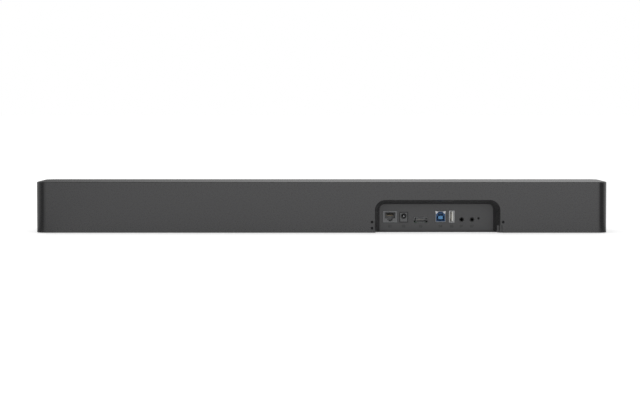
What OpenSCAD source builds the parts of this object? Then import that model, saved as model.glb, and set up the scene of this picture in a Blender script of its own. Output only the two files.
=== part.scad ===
// A long conference camera and sound bar. It stands on its feet, with its front towards -Y.
// The origin lies on the table, under the middle of the bar. All lengths are in millimetres.

/* [Casing] */
// Width of the bar
body_w = 650; // [646:2:700]
// Depth of the bar, front to rear
body_d = 95; // [93:1:110]
// Height of the casing above its feet
body_h = 57.6; // [57:0.2:62]
// Wall of the moulded casing
wall = 2.6; // [2.2:0.1:3]
// Radius of the upright corners
corner_r = 12; // [10:0.5:14]
// Rounding along the top rim
edge_r = 0.8; // [0.4:0.1:1.2]
// Thickness of the bottom cover
cover_t = 2.6; // [2.2:0.1:3]
// Depth of the front assembly behind the front rim
front_d = 16; // [15.5:0.5:18]
// Gap along the seams between casing parts
seam = 0.3; // [0.2:0.05:0.4]
// Height of the feet below the casing
foot_h = 0.8; // [0.6:0.1:1.2]

/* [Connector bay] */
// Distance of the bay's outer edge from the end of the bar
bay_end = 121.9; // [118:0.1:126]
// Width of the bay in the rear face
bay_w = 142.6; // [140:0.2:146]
// Height of the bay in the rear face
bay_h = 37.2; // [36:0.2:40]
// Radius of the bay's upper corners in the rear face
bay_r = 12; // [10:0.5:14]
// Depth of the bay down to the connector panel
bay_depth = 26; // [24:0.5:27]
// How far each wall of the bay closes in for each millimetre of depth
bay_slope = 0.23; // [0.2:0.01:0.3]
// Thickness of the bay's walls
bay_wall = 2.2; // [1.8:0.1:2.6]
// Thickness of the connector panel
panel_t = 2; // [1.6:0.1:2.6]

/* [Places of the ports, as shares of the bay's width from its inner edge] */
// Network jack
network_share = 0.127; // [0.12:0.001:0.132]
// Power jack
power_share = 0.237; // [0.232:0.001:0.245]
// Video port
video_share = 0.374; // [0.35:0.001:0.39]
// USB-B port
usb_b_share = 0.534; // [0.526:0.001:0.54]
// USB-A port
usb_a_share = 0.624; // [0.617:0.001:0.631]
// Line input jack
line_in_share = 0.703; // [0.7:0.001:0.708]
// Line output jack
line_out_share = 0.787; // [0.784:0.001:0.79]
// Reset pinhole
reset_share = 0.84; // [0.838:0.001:0.848]

/* [Ports] */
// Sheet thickness of the port shells
shell_t = 0.4; // [0.3:0.05:0.5]
// Width of the network jack's shell
network_w = 15.6; // [15:0.1:16]
// Height of the network jack's shell
network_h = 12.6; // [12.2:0.1:13.4]
// Depth of the network jack's shell
network_d = 18; // [17:0.5:20]
// Width of the power jack
power_w = 9.6; // [9:0.1:10.4]
// Height of the power jack
power_h = 11.6; // [11:0.1:12.4]
// Depth of the power jack
power_d = 14.4; // [13:0.1:16]
// Radius of the power jack's bore
power_bore_r = 3.2; // [3:0.1:3.4]
// Radius of the power jack's centre pin
power_pin_r = 1.05; // [0.8:0.05:1.25]
// Width of the video port's shell
video_w = 15; // [14.6:0.1:15.6]
// Height of the video port's shell
video_h = 5.6; // [5.2:0.1:6.2]
// Depth of the video port's shell
video_d = 12; // [11:0.5:14]
// Width of the USB-B shell
usb_b_w = 12.2; // [12:0.1:12.6]
// Height of the USB-B shell
usb_b_h = 13; // [12.4:0.1:13.4]
// Depth of the USB-B shell
usb_b_d = 17; // [16:0.5:19]
// Width of the USB-A shell
usb_a_w = 5.9; // [5.7:0.1:6.3]
// Height of the USB-A shell
usb_a_h = 13.1; // [12.8:0.1:13.6]
// Depth of the USB-A shell
usb_a_d = 17; // [14:0.5:19]
// Width of a line jack's body
line_w = 7; // [6.6:0.1:7.4]
// Height of a line jack's body
line_h = 6.4; // [6:0.1:7]
// Depth of a line jack's body
line_d = 12; // [11:0.5:14]
// Radius of a line jack's bore
line_bore_r = 1.8; // [1.75:0.01:1.85]
// Radius of a line jack's nose in the panel
line_nose_r = 2.7; // [2.5:0.1:2.9]
// Radius of the reset pinhole
pinhole_r = 0.9; // [0.7:0.05:1]
// Travel of the reset button
reset_travel = 0.5; // [0.3:0.1:0.6]

/* [Front] */
// Setback of the grilles and the bezel behind the front rim
lip_set = 0.8; // [0.5:0.1:1.2]
// Sheet thickness of the grilles
grille_t = 1; // [0.8:0.1:1.2]
// Space between a grille and the front frame
grille_stand = 2; // [1.8:0.1:2.4]
// Width of a slot in the grilles
slot_w = 1.8; // [1.4:0.1:2]
// Distance from one slot to the next
slot_pitch = 3.6; // [3.4:0.1:4.4]
// Wall of the front frame
frame_t = 2.4; // [2:0.1:2.8]
// Width of the camera bezel
bezel_w = 130; // [128:1:134]
// Height of the lens above the middle of the casing
lens_lift = 2; // [1:0.5:3]
// Radius of the round window in front of the lens
window_r = 13; // [12:0.5:13]
// Thickness of the window
window_t = 1.5; // [1.2:0.1:1.6]

/* [Privacy shutter] */
// Thickness of the shutter blade
blade_t = 0.8; // [0.6:0.1:0.9]
// Travel of the shutter, which rests open
shutter_travel = 28; // [27:0.5:30]
// Space that the shutter runs in, on each side of the blade
shutter_gap = 0.4; // [0.3:0.05:0.5]

/* [Camera] */
// Radius of the lens barrel at its front
barrel_r = 9.5; // [9:0.1:10]
// Length of the lens barrel
barrel_len = 21; // [20:0.5:22]
// Width and height of the sensor board
sensor_w = 38; // [34:1:40]
// Thickness of the camera bracket
bracket_t = 2; // [1.5:0.1:2.4]

/* [Speakers] */
// Distance of a speaker's axis from the end of the bar
spk_inset = 70; // [68:0.5:72]
// Width of a speaker's square flange
spk_flange = 42; // [40:0.5:42]
// Radius of the moving cone
cone_r = 15; // [14:0.5:15.5]
// Travel of a cone, each way
cone_travel = 1.5; // [1:0.1:1.8]
// Radius of a speaker's magnet
magnet_r = 14.5; // [13:0.5:15]
// Width of a speaker's box
box_w = 84; // [76:1:88]
// Depth of a speaker's box
box_d = 60; // [54:1:64]
// Wall of a speaker's box
box_t = 1.8; // [1.5:0.1:2]

/* [Boards] */
// Thickness of the circuit boards
board_t = 1.6; // [1.2:0.1:1.6]
// Height of the main board above the bottom cover
board_lift = 6.2; // [5:0.1:6.6]
// Space between the main board and the front frame
board_room = 1.5; // [1:0.1:4]
// Height of the heat sink
sink_h = 20; // [14:1:24]

/* [Fasteners and feet] */
// Radius of the bore in the camera thread bush, at its thread's crests
tripod_bore_r = 2.6; // [2.5:0.05:2.7]
// Radius of the bores in the bracket bushes, at their threads' crests
bracket_bore_r = 1.65; // [1.6:0.05:1.7]
// Distance between the bracket bushes along the bar
bracket_span_x = 240; // [200:10:240]
// Distance of each foot from the end of the bar
foot_inset = 75; // [55:5:125]
// Length of each foot across the bar
foot_len = 60; // [40:2:64]
// Width of each foot
foot_w = 12; // [8:1:16]

/* [Hidden] */
$fn = 64;

// Clearance of pieces that fit into each other without moving
fit = 0.05;
// How far a cut runs past the face it opens
over = 1;
// How far a rib or a boss runs into the wall that carries it
fuse = 0.8;
// Radius of a round end, as a share of a strip's width
round_share = 0.49;

// Levels, from the table up
base_z = foot_h;
floor_z = base_z + cover_t;
roof_z = base_z + body_h - wall;
mid_z = (floor_z + roof_z) / 2;
lens_z = base_z + body_h / 2 + lens_lift;

// Planes across the bar, from the rear to the front
rear_y = body_d / 2;
panel_y = rear_y - bay_depth;
board_gap = 0.5;
board_y = panel_y - panel_t - board_gap;
tongue = 4;
front_y = -body_d / 2;
split_y = front_y + front_d;
board_d = board_y - split_y - tongue - board_room;
grille_y = front_y + lip_set;
bezel_t = grille_t + grille_stand;
frame_y = grille_y + bezel_t;
frame_back_y = frame_y + frame_t;

// Inside of the casing
inner_w = body_w - 2 * wall;
inner_d = body_d - 2 * wall;
inner_r = corner_r - wall;

// Front frame
grille_h = roof_z - floor_z - 2 * seam;
rim_t = 2;
frame_half = body_w / 2 - wall - seam;
frame_r = corner_r - lip_set - grille_t;

// Bay: its edges, and how much it narrows down to the panel
bay_out_x = bay_end - body_w / 2;
bay_in_x = bay_out_x + bay_w;
bay_x = (bay_in_x + bay_out_x) / 2;
bay_draft = bay_slope * bay_depth;
panel_lap_share = 0.8;
panel_lap = panel_lap_share * bay_wall;
ear_r = 4;
ear_z = 18;
ear_out = 3.6;
catch_w = 2.4;
catch_h = 8.4;
catch_share = 0.85;
catch_d = catch_share * wall;
lug_y = 5;
lug_d = 3;
lug_h = 8;
lug_out = 1.4;

// Screws: shank and head radii, head height and shank length, with the hole that takes each
case_screw = [1.5, 2.8, 1.4, 9];
board_screw = [1.1, 2.1, 1.2, 5];

rear_screw = [0.9, 1.5, 0.8, 5];
rear_screw_off = 3.2;
rear_screw_sink = 0.9;
rear_screw_z = 12;
rear_boss_wall = 0.7;
rear_boss_gap = 0.2;
rear_boss_r = rear_screw[1] + rear_boss_wall;
rear_screw_low_z = cover_t + rear_boss_r + rear_boss_gap;
screw_slack = 0.3;

// Bosses for the cover's screws, from the top wall down to the cover
boss_r = 3.6;
boss_inset = 17;
boss_front_in = 7;
boss_rear_in = 8;
boss_bay_off = 28;
boss_bush_off = 14;
boss_deep = 12;
boss_front_y = split_y + tongue + boss_front_in;
boss_rear_y = rear_y - wall - boss_rear_in;
bush_x = bracket_span_x / 2;
spk_x = body_w / 2 - spk_inset;
box_in_x = spk_x - box_w / 2;
boss_spots = concat(
    [for (s = [-1, 1], y = [boss_rear_y, boss_front_y]) [s * (body_w / 2 - boss_inset), y]],
    [for (x = [-spk_x, bay_in_x + boss_bay_off, bezel_w / 2, (bush_x + box_in_x) / 2]) [x, boss_rear_y]],
    [for (x = [bush_x - boss_bush_off, (bush_x + box_in_x) / 2]) [x, boss_front_y]]
);

// Ribs inside the casing
rib_t = 1.4;
rib_deep = 2;
rib_pitch = 52;

// Ports
network_size = [network_w, network_h, network_d];
power_size = [power_w, power_h, power_d];
video_size = [video_w, video_h, video_d];
usb_b_size = [usb_b_w, usb_b_h, usb_b_d];
usb_a_size = [usb_a_w, usb_a_h, usb_a_d];
line_size = [line_w, line_h, line_d];
port_gap = 0.3;
port_set = 0.3;
board_z = floor_z + board_lift + board_t;
port_y = panel_y - port_set;
network_x = bay_in_x - network_share * bay_w;
power_x = bay_in_x - power_share * bay_w;
video_x = bay_in_x - video_share * bay_w;
usb_b_x = bay_in_x - usb_b_share * bay_w;
usb_a_x = bay_in_x - usb_a_share * bay_w;
line_in_x = bay_in_x - line_in_share * bay_w;
line_out_x = bay_in_x - line_out_share * bay_w;
reset_x = bay_in_x - reset_share * bay_w;
power_axis_share = 0.62;
power_bore_z = board_z + power_axis_share * power_h;
power_bore_d = 9.5;
line_back = 0.7;
line_z = board_z + line_h / 2;
line_bore_d = panel_t - port_set + line_d - line_back;
reset_rise = 4.5;
reset_z = board_z + reset_rise;
reset_r = 1.3;
reset_stem = 3;
reset_cup = 2;
reset_tip_gap = 0.8;
reset_tip_y = panel_y - panel_t - reset_tip_gap;
switch_y = reset_tip_y - reset_stem;
switch_size = [4.6, 6.6, 4];
plug_cavity = [11.8, 7, 12];
latch_size = [6, 2.2];
latch_notch = [3.2, 1.2];

// Main board and what is on it
tripod_r = 5;
bush_wall = 2;
bush_room = 2;
board_in_x = -tripod_r - bush_wall - bush_room;
board_out_x = bay_out_x;
board_w = board_in_x - board_out_x;
board_hole_inset = 4.2;
post_wall = 1;
chip_w = 24;
chip_h = 1.6;
sink_w = 60;
sink_base = 3;
fin_t = 1.2;
fin_pitch = 4.9;
sink_room = 12;
sink_edge = 1;
jack_room = 20;
sink_d = board_d - sink_edge - jack_room;
chip_d = sink_d - 2 * sink_edge;
sink_x = board_out_x + sink_room + sink_w / 2;
sink_y = board_y - board_d + sink_d / 2 + sink_edge;
memory_n = 3;
memory_share = 0.5;
memory_d = memory_share * sink_d;
memory_h = 1;
memory_pitch = (board_in_x - sink_x - sink_w / 2) / (memory_n + 1);

// Shutter and bezel
cover_half = 14;
cover_up = 14.5;
arm_h = 4;
cover_down = cover_up + arm_h;
blade_y = frame_y + shutter_gap;
rail_h = 2;
rail_lip = 1;
rail_bite = 1.5;
rail_back = blade_y + blade_t + shutter_gap;
rail_top_z = lens_z + cover_up + seam;
rail_low_z = lens_z - cover_down - seam;
knob_size = [8, 4.4, 1.6];
stem_size = [4, 2];
knob_slack = 0.2;
knob_room = 5;
knob_x = cover_half + knob_size[0] / 2 + knob_room;
knob_z = lens_z - cover_up - arm_h / 2;
pocket_d = 1.2;
window_lip = 1.5;
rail_end = 2;
rail_in_x = -cover_half - shutter_travel - rail_end;
rail_out_x = knob_x + shutter_travel + knob_size[0] / 2 + rail_end;
hatch_half = rail_out_x + rail_end;
bezel_screw_in = 3;
hatch_gap = 0.6;
pipe_w = 14;
pipe_h = 1.6;
pipe_rise = 4.6;
pipe_z = floor_z + pipe_rise;
pipe_len = 6;
status_size = [26, 4];

// Camera
barrel_y = rail_back;
barrel_end_y = barrel_y + barrel_len;
thread_r = 6.8;
thread_len = 6;
holder_w = 20;
holder_len = 8;
barrel_mid_r = 8;
barrel_bore_r = 4.6;
barrel_flare = 1;
barrel_lip = 1.2;
barrel_rim = 2;
lens_r = 7.2;
lens_deep = 6;
lens_edge = 2.5;
lens_dome = 1.8;
holder_wall = 3;
holder_pocket = 2;
sensor_gap = 2;
sensor_y = barrel_end_y + sensor_gap;
sensor_chip = [9, 7, 1];
post_len = 5;
post_r = 2.2;
post_inset = 4;
bracket_y = sensor_y + board_t + post_len;
bracket_h = 34;
bracket_room = 3.5;
bracket_half = hatch_half + bracket_room;
bracket_foot = 7;
bracket_hole_x = bracket_half + bracket_foot / 2 - bracket_t / 2;
bracket_screw_z = 12;
ribbon_w = 8;
ribbon_t = 0.3;
ribbon_r = 1.5;
ribbon_in = 2;
ribbon_rise = 1.4;
ribbon_run = 1;
ribbon_z = lens_z - sensor_w / 2 + ribbon_in;
ribbon_low_z = board_z + ribbon_rise;
socket_share = 0.25;
socket_room = 3.5;
socket_back = socket_share * (board_y - bracket_y - bracket_t - socket_room);
socket_y = bracket_y + bracket_t + socket_back;
socket_rim = 0.5;
socket_h = 2;
socket_d = 4;

// Speakers
gasket_t = 1;
flange_r = 4;
flange_t = 1.5;
spk_y = frame_back_y + gasket_t;
basket_len = 15;
basket_t = 1.2;
basket_inset = 0.5;
basket_band = 3;
basket_low_r = magnet_r - basket_inset;
coil_r = 8.2;
coil_t = 0.5;
pole_r = 7.3;
plate_r = 9;
plate_lip = 2;
magnet_step = 1;
top_plate = 3;
magnet_base = 5;
magnet_len = magnet_base + 2 * cone_travel;
back_plate = 3;
cone_t = 0.6;
cone_deep = 9;
cap_h = 3;
coil_len = 11;
roll_r = 1.4;
roll_t = 0.5;
cone_gap = 0.3;
spk_open = cone_r + cone_gap + 2 * (roll_r + roll_t) + fit;
bite_share = 0.75;
front_screw = [0.9, 1.7, 0.9, flange_t + gasket_t + bite_share * frame_t];
bezel_screw_z = bracket_h / 2 + lens_lift + front_screw[1] + screw_slack;
box_h = grille_h - 2 * rim_t - 2 * seam;
box_r = 4;
spk_hole_share = 0.42;
spk_hole = spk_hole_share * spk_flange;

// Microphones
mic_n = 4;
mic_room = 14;
mic_w = box_in_x - bezel_w / 2 - 2 * mic_room;
mic_h = 7;
mic_x = (box_in_x + bezel_w / 2) / 2;
mic_drop = 1;
mic_z = floor_z + seam + grille_h - rim_t - mic_h / 2 - mic_drop;
mic_hole_r = 0.6;
mic_chip = [3.5, 3, 1];

// Feet and bushes
foot_x = body_w / 2 - foot_inset;
foot_sink = 0.9;
foot_round = round_share * foot_w;
tripod_y = 5;
tripod_len = 8;
bracket_r = 2.8;
bracket_len = 5.4;
bush_clear = 0.8;
bush_front_y = split_y + tongue + seam + bracket_r + bush_wall;
bush_rear_y = panel_y - panel_t - seam - bush_clear - bracket_r - bush_wall;
vent_w = 2;
vent_len = 26;
vent_pitch = 5;
vent_n = 12;
vent_off = 50;
vent_x = bush_x - vent_off;
vent_y = -6;

// Plain shapes

// A flat rectangle with round corners, about its centre
module rounded_rect(w, d, r) {
    square([w - 2 * r, d], center = true);
    square([w, d - 2 * r], center = true);
    for (sx = [-1, 1], sy = [-1, 1])
        translate([sx * (w / 2 - r), sy * (d / 2 - r)]) circle(r);
}

// The plan of a piece that runs back from a straight front with round corners
module front_plan(half, y0, y1, r) {
    translate([-half + r, y0]) square([2 * (half - r), y1 - y0]);
    translate([-half, y0 + r]) square([2 * half, y1 - y0 - r]);
    for (s = [0, 1])
        mirror([s, 0]) translate([half - r, y0 + r]) intersection() {
            circle(r);
            translate([0, -r]) square(r);
        }
}

// Stands a flat outline up, facing the rear at y and t thick towards the front
module upright(y, t) {
    translate([0, y, 0]) rotate([90, 0, 0]) linear_extrude(t) children();
}

// Turns a revolved piece so that its axis points to the front, from (x, y, z)
module facing(x, y, z) {
    translate([x, y, z]) rotate([90, 0, 0]) children();
}

// A box whose face at y faces the rear, centred on x and standing on z
module block(x, y, z, size) {
    translate([x - size[0] / 2, y - size[2], z]) cube([size[0], size[2], size[1]]);
}

// A screw with its head's underside at the origin and its shank pointing down
module screw(s) {
    translate([0, 0, -s[3]]) cylinder(h = s[3], r = s[0]);
    cylinder(h = s[2], r = s[1]);
}

// The hole for a screw: its pilot hole is as deep as the shank, with room for the tip
module pilot(s) {
    translate([0, 0, -s[3] - screw_slack]) cylinder(h = s[3] + screw_slack + over, r = s[0] + fit);
}

// Casing

// The rim's profile from a corner's centre outwards, round along its top edge
module rim_profile(r, h, e) {
    steps = 4;
    polygon([
        [0, 0],
        [r, 0],
        for (i = [0:steps]) [r - e + e * cos(90 * i / steps), h - e + e * sin(90 * i / steps)],
        [0, h]
    ]);
}

// The solid bar: four revolved corners, straight sides and the middle
module bar_form() {
    cx = body_w / 2 - corner_r;
    cy = body_d / 2 - corner_r;
    translate([-cx, -cy, 0]) cube([2 * cx, 2 * cy, body_h]);
    for (q = [0:3])
        translate([(q == 0 || q == 3) ? cx : -cx, q < 2 ? cy : -cy, 0])
            rotate([0, 0, 90 * q]) rotate_extrude(angle = 90) rim_profile(corner_r, body_h, edge_r);
    for (a = [0, 180]) {
        rotate([0, 0, a]) translate([-cx, cy, 0])
            rotate([90, 0, 90]) linear_extrude(2 * cx) rim_profile(corner_r, body_h, edge_r);
        rotate([0, 0, a]) translate([cx, cy, 0])
            rotate([90, 0, 0]) linear_extrude(2 * cy) rim_profile(corner_r, body_h, edge_r);
    }
}

// The bay's space between two depths, grown outwards and reaching down to low_z.
// Its corners are cones, because the walls close in towards the panel.
module bay_form(grow, y_rear, y_front, low_z) {
    half = bay_w / 2 - bay_r;
    mid = base_z + bay_h - bay_r;
    len = y_rear - y_front;
    r_rear = bay_r + grow - bay_slope * (rear_y - y_rear);
    r_front = bay_r + grow - bay_slope * (rear_y - y_front);
    translate([bay_x, 0, 0]) {
        for (s = [0, 1])
            mirror([s, 0, 0]) translate([half, y_rear, mid]) rotate([90, 0, 0])
                rotate_extrude(angle = 90) polygon([[0, 0], [r_rear, 0], [r_front, len], [0, len]]);
        translate([-half, 0, 0]) rotate([90, 0, 90]) linear_extrude(2 * half)
            polygon([[y_rear, mid], [y_rear, mid + r_rear], [y_front, mid + r_front], [y_front, mid]]);
        translate([0, 0, low_z]) linear_extrude(mid - low_z) polygon([
            [-half - r_rear, y_rear], [half + r_rear, y_rear],
            [half + r_front, y_front], [-half - r_front, y_front]
        ]);
    }
}

// Places of the three small screws beside the bay
rear_screw_spots = [
    [bay_in_x + rear_screw_off, base_z + rear_screw_z],
    [bay_in_x + rear_screw_off, base_z + rear_screw_low_z],
    [bay_out_x - rear_screw_off, base_z + rear_screw_z]
];

module rear_screw_places() {
    for (p = rear_screw_spots)
        translate([p[0], rear_y - rear_screw_sink, p[1]]) rotate([-90, 0, 0]) children();
}

// Places of the screws through the panel's ears
module ear_places() {
    for (s = [-1, 1])
        translate([bay_x + s * (bay_w / 2 - bay_draft + bay_wall + ear_out), panel_y - panel_t, ear_z])
            rotate([90, 0, 0]) children();
}

module bosses() {
    for (p = boss_spots)
        translate([p[0], p[1], floor_z]) cylinder(h = roof_z - floor_z + fuse, r = boss_r);
    for (p = boss_spots)
        if (p[1] > 0)
            translate([p[0] - rib_t / 2, p[1], floor_z + board_lift])
                cube([rib_t, rear_y - wall / 2 - p[1], roof_z - floor_z - board_lift]);
}

module roof_ribs() {
    y0 = split_y + tongue + seam;
    n = floor((inner_w / 2 - corner_r) / rib_pitch);
    for (i = [-n:n])
        translate([i * rib_pitch - rib_t / 2, y0, roof_z - rib_deep])
            cube([rib_t, rear_y - wall / 2 - y0, rib_deep + fuse]);
}

module rear_housing() color("#3c3c3d") {
    casing();
    bay_lug();
}

// The small lug on the bay's outer wall
module bay_lug() {
    translate([bay_out_x, rear_y - lug_y - lug_d, base_z])
        cube([bay_slope * (lug_y + lug_d) + lug_out, lug_d, lug_h]);
}

module casing() difference() {
    union() {
        difference() {
            translate([0, 0, base_z]) bar_form();
            translate([0, 0, base_z - over]) linear_extrude(body_h - wall + over)
                rounded_rect(inner_w, inner_d, inner_r);
            translate([-body_w, front_y - over, base_z - over])
                cube([2 * body_w, front_d + over, body_h - wall + over]);
        }
        bay_form(bay_wall, rear_y - wall / 2, panel_y, base_z);
        bosses();
        roof_ribs();
        rear_screw_places() translate([0, 0, -rear_screw[3] - over])
            cylinder(h = rear_screw[3] + over, r = rear_boss_r);
        ear_places() translate([0, 0, -panel_t - board_screw[3]])
            cylinder(h = board_screw[3], r = ear_r);
    }
    bay_form(0, rear_y + over, panel_y - over, base_z - over);
    translate([bay_out_x - catch_w, rear_y - catch_d, base_z - over])
        cube([catch_w + bay_r / 2, catch_d + over, catch_h + over]);
    for (p = boss_spots)
        translate([p[0], p[1], floor_z - over]) cylinder(h = boss_deep + over, r = case_screw[0] + fit);
    rear_screw_places() pilot(rear_screw);
    rear_screw_places() cylinder(h = rear_screw_sink + over, r = rear_screw[1] + fit);
    ear_places() pilot(board_screw);
}

module cover_plan() {
    front_plan(body_w / 2, front_y, split_y - seam, corner_r);
    intersection() {
        rounded_rect(inner_w - 2 * seam, inner_d - 2 * seam, inner_r - seam);
        translate([-body_w, split_y - over]) square([2 * body_w, body_d]);
    }
}

module bracket_places() {
    for (s = [-1, 1], y = [bush_front_y, bush_rear_y])
        translate([s * bush_x, y, base_z]) children();
}

board_spots = [
    for (x = [board_out_x + board_hole_inset, board_in_x - board_hole_inset],
         y = [board_y - board_hole_inset, board_y - board_d + board_hole_inset]) [x, y]
];

module bottom_cover() color("#333334") difference() {
    union() {
        translate([0, 0, base_z]) linear_extrude(cover_t) cover_plan();
        translate([0, tripod_y, base_z]) cylinder(h = tripod_len + bush_wall, r = tripod_r + bush_wall);
        bracket_places() cylinder(h = bracket_len + bush_wall / 2, r = bracket_r + bush_wall);
        for (p = board_spots)
            translate([p[0], p[1], base_z])
                cylinder(h = cover_t + board_lift, r = board_screw[1] + post_wall);
    }
    bay_form(bay_wall + seam, rear_y + over, panel_y - panel_t - seam, base_z - over);
    for (p = boss_spots) translate([p[0], p[1], base_z - over]) {
        cylinder(h = cover_t + 2 * over, r = case_screw[0] + screw_slack);
        cylinder(h = case_screw[2] + over, r = case_screw[1] + screw_slack);
    }
    for (p = board_spots)
        translate([p[0], p[1], floor_z + board_lift + board_t]) pilot(board_screw);
    translate([0, tripod_y, base_z - over]) cylinder(h = tripod_len + over, r = tripod_r);
    bracket_places() translate([0, 0, -over]) cylinder(h = bracket_len + over, r = bracket_r);
    for (s = [-1, 1])
        translate([s * foot_x, 0, base_z - over]) linear_extrude(foot_sink + over)
            rounded_rect(foot_w + 2 * fit, foot_len + 2 * fit, foot_round + fit);
    for (s = [-1, 1], i = [0:vent_n - 1])
        translate([s * vent_x + (i - (vent_n - 1) / 2) * vent_pitch, vent_y, base_z - over])
            linear_extrude(cover_t + 2 * over) rounded_rect(vent_w, vent_len, round_share * vent_w);
}

module port_hole(x, z, w, h) {
    translate([x - w / 2 - port_gap, z - port_gap]) square([w + 2 * port_gap, h + 2 * port_gap]);
}

module port_panel() color("#343435") difference() {
    upright(panel_y, panel_t) difference() {
        union() {
            half = bay_w / 2 - bay_draft + panel_lap;
            r = bay_r - bay_draft + panel_lap;
            top = base_z + bay_h - bay_draft + panel_lap;
            translate([bay_x - half, base_z]) square([2 * half, top - r - base_z]);
            translate([bay_x - half + r, base_z]) square([2 * (half - r), top - base_z]);
            for (s = [-1, 1])
                translate([bay_x + s * (half - r), top - r]) circle(r);
            ear = bay_w / 2 - bay_draft + bay_wall + ear_out;
            translate([bay_x - ear, ear_z - ear_r]) square([2 * ear, 2 * ear_r]);
            for (s = [-1, 1])
                translate([bay_x + s * ear, ear_z]) circle(ear_r);
        }
        port_hole(network_x, board_z, network_size[0], network_size[1]);
        port_hole(power_x, board_z, power_size[0], power_size[1]);
        port_hole(video_x, board_z, video_size[0], video_size[1]);
        port_hole(usb_b_x, board_z, usb_b_size[0], usb_b_size[1]);
        port_hole(usb_a_x, board_z, usb_a_size[0], usb_a_size[1]);
        for (x = [line_in_x, line_out_x])
            translate([x, line_z]) circle(line_nose_r + 2 * fit);
        translate([reset_x, reset_z]) circle(pinhole_r);
    }
    ear_places() pilot(board_screw);
}

// Ports

// A port's sheet-metal shell, open towards the rear
module port_shell(x, size) {
    difference() {
        block(x, port_y, board_z, size);
        block(x, port_y + over, board_z + shell_t,
            [size[0] - 2 * shell_t, size[1] - 2 * shell_t, size[2] - shell_t + over]);
    }
}

module network_shell() color("#b8b9bc") port_shell(network_x, network_size);

module network_insert() color("#262627") {
    w = network_size[0] - 2 * shell_t;
    h = network_size[1] - 2 * shell_t;
    low = board_z + shell_t;
    deck = low + latch_size[1] + latch_notch[1] + (h - plug_cavity[1] - latch_size[1] - latch_notch[1]) / 2;
    difference() {
        block(network_x, port_y - shell_t, low, [w, h, network_size[2] - 2 * shell_t]);
        block(network_x, port_y + over, deck, plug_cavity + [0, 0, over]);
        block(network_x, port_y + over, deck - latch_size[1],
            [latch_size[0], latch_size[1] + over, plug_cavity[2] + over]);
        block(network_x, port_y + over, deck - latch_size[1] - latch_notch[1],
            [latch_notch[0], latch_notch[1] + over, plug_cavity[2] + over]);
    }
}

module power_jack() color("#2a2a2b") difference() {
    block(power_x, port_y, board_z, power_size);
    facing(power_x, port_y + over, power_bore_z) cylinder(h = power_bore_d + over, r = power_bore_r);
}

module power_pin() color("#c9c9c6") facing(power_x, port_y - power_pin_r, power_bore_z) {
    cylinder(h = power_bore_d - power_pin_r, r = power_pin_r);
    sphere(power_pin_r);
}

// A video port's outline: its lower corners are cut off
video_cut_shares = [0.6, 0.42];
video_tongue_shares = [0.7, 0.24, 0.55];

module video_outline(w, h) {
    dx = video_cut_shares[0] * h;
    dz = video_cut_shares[1] * h;
    translate([-w / 2, 0]) polygon([[dx, 0], [w - dx, 0], [w, dz], [w, h], [0, h], [0, dz]]);
}

module video_shell() color("#4a4a4b") difference() {
    translate([video_x, 0, board_z]) upright(port_y, video_size[2])
        video_outline(video_size[0], video_size[1]);
    translate([video_x, 0, board_z + shell_t]) upright(port_y + over, video_size[2] - shell_t + over)
        video_outline(video_size[0] - 2 * shell_t, video_size[1] - 2 * shell_t);
}

module video_tongue() color("#1f1f20") {
    share = video_tongue_shares;
    block(video_x, port_y - 2 * shell_t, board_z + share[2] * video_h,
        [share[0] * video_w, share[1] * video_h, video_d - 3 * shell_t]);
}

module usb_b_shell() color("#c3c4c7") port_shell(usb_b_x, usb_b_size);

// The USB-B opening: a wide lower part with cut corners, and a narrow upper part
usb_b_cut_share = 0.14;
usb_b_low_share = 0.64;
usb_b_top_share = 0.36;
usb_b_rim_share = 0.12;
usb_b_deep_share = 0.6;
usb_b_tongue_shares = [0.46, 0.24, 0.7];
usb_b_tongue_low_share = 0.27;
usb_b_ridge_shares = [0.42, 0.07, 0.7];
usb_b_ridge_low_share = 0.76;

module usb_b_mouth(w, h) {
    cut = usb_b_cut_share * w;
    low = usb_b_low_share * h;
    top = usb_b_top_share * w;
    polygon([
        [-w / 2, 0], [w / 2, 0], [w / 2, low - cut], [w / 2 - cut, low], [top, low],
        [top, h], [-top, h], [-top, low], [cut - w / 2, low], [-w / 2, low - cut]
    ]);
}

module usb_b_insert() color("#2360a8") {
    w = usb_b_size[0] - 2 * shell_t;
    h = usb_b_size[1] - 2 * shell_t;
    low = board_z + shell_t;
    rim = usb_b_rim_share * w;
    tongue_size = [usb_b_tongue_shares[0] * w, usb_b_tongue_shares[1] * h, usb_b_tongue_shares[2]
        * usb_b_d];
    ridge_size = [usb_b_ridge_shares[0] * w, usb_b_ridge_shares[1] * h, usb_b_ridge_shares[2] * usb_b_d];
    difference() {
        block(usb_b_x, port_y - shell_t, low, [w, h, usb_b_size[2] - 2 * shell_t]);
        translate([usb_b_x, 0, low + rim]) upright(port_y + over, usb_b_deep_share * usb_b_d + over)
            usb_b_mouth(w - 2 * rim, h - 2 * rim);
    }
    block(usb_b_x, port_y - 2 * shell_t, low + usb_b_tongue_low_share * h, tongue_size);
    block(usb_b_x, port_y - 2 * shell_t, low + usb_b_ridge_low_share * h, ridge_size);
}

module usb_a_shell() color("#c3c4c7") port_shell(usb_a_x, usb_a_size);

// The tongue's width, height and depth, and its place across and up the shell
usb_a_tongue_shares = [0.36, 0.88, 0.6];
usb_a_place_shares = [-0.2, 0.06];

module usb_a_tongue() color("#e6e6e4") {
    w = usb_a_w - 2 * shell_t;
    h = usb_a_h - 2 * shell_t;
    low = board_z + shell_t;
    share = usb_a_tongue_shares;
    block(usb_a_x, port_y - usb_a_d / 2, low, [w, h, usb_a_d / 2 - shell_t]);
    block(usb_a_x + usb_a_place_shares[0] * w, port_y - 2 * shell_t, low + usb_a_place_shares[1] * h,
        [share[0] * w, share[1] * h, share[2] * usb_a_d]);
}

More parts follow.
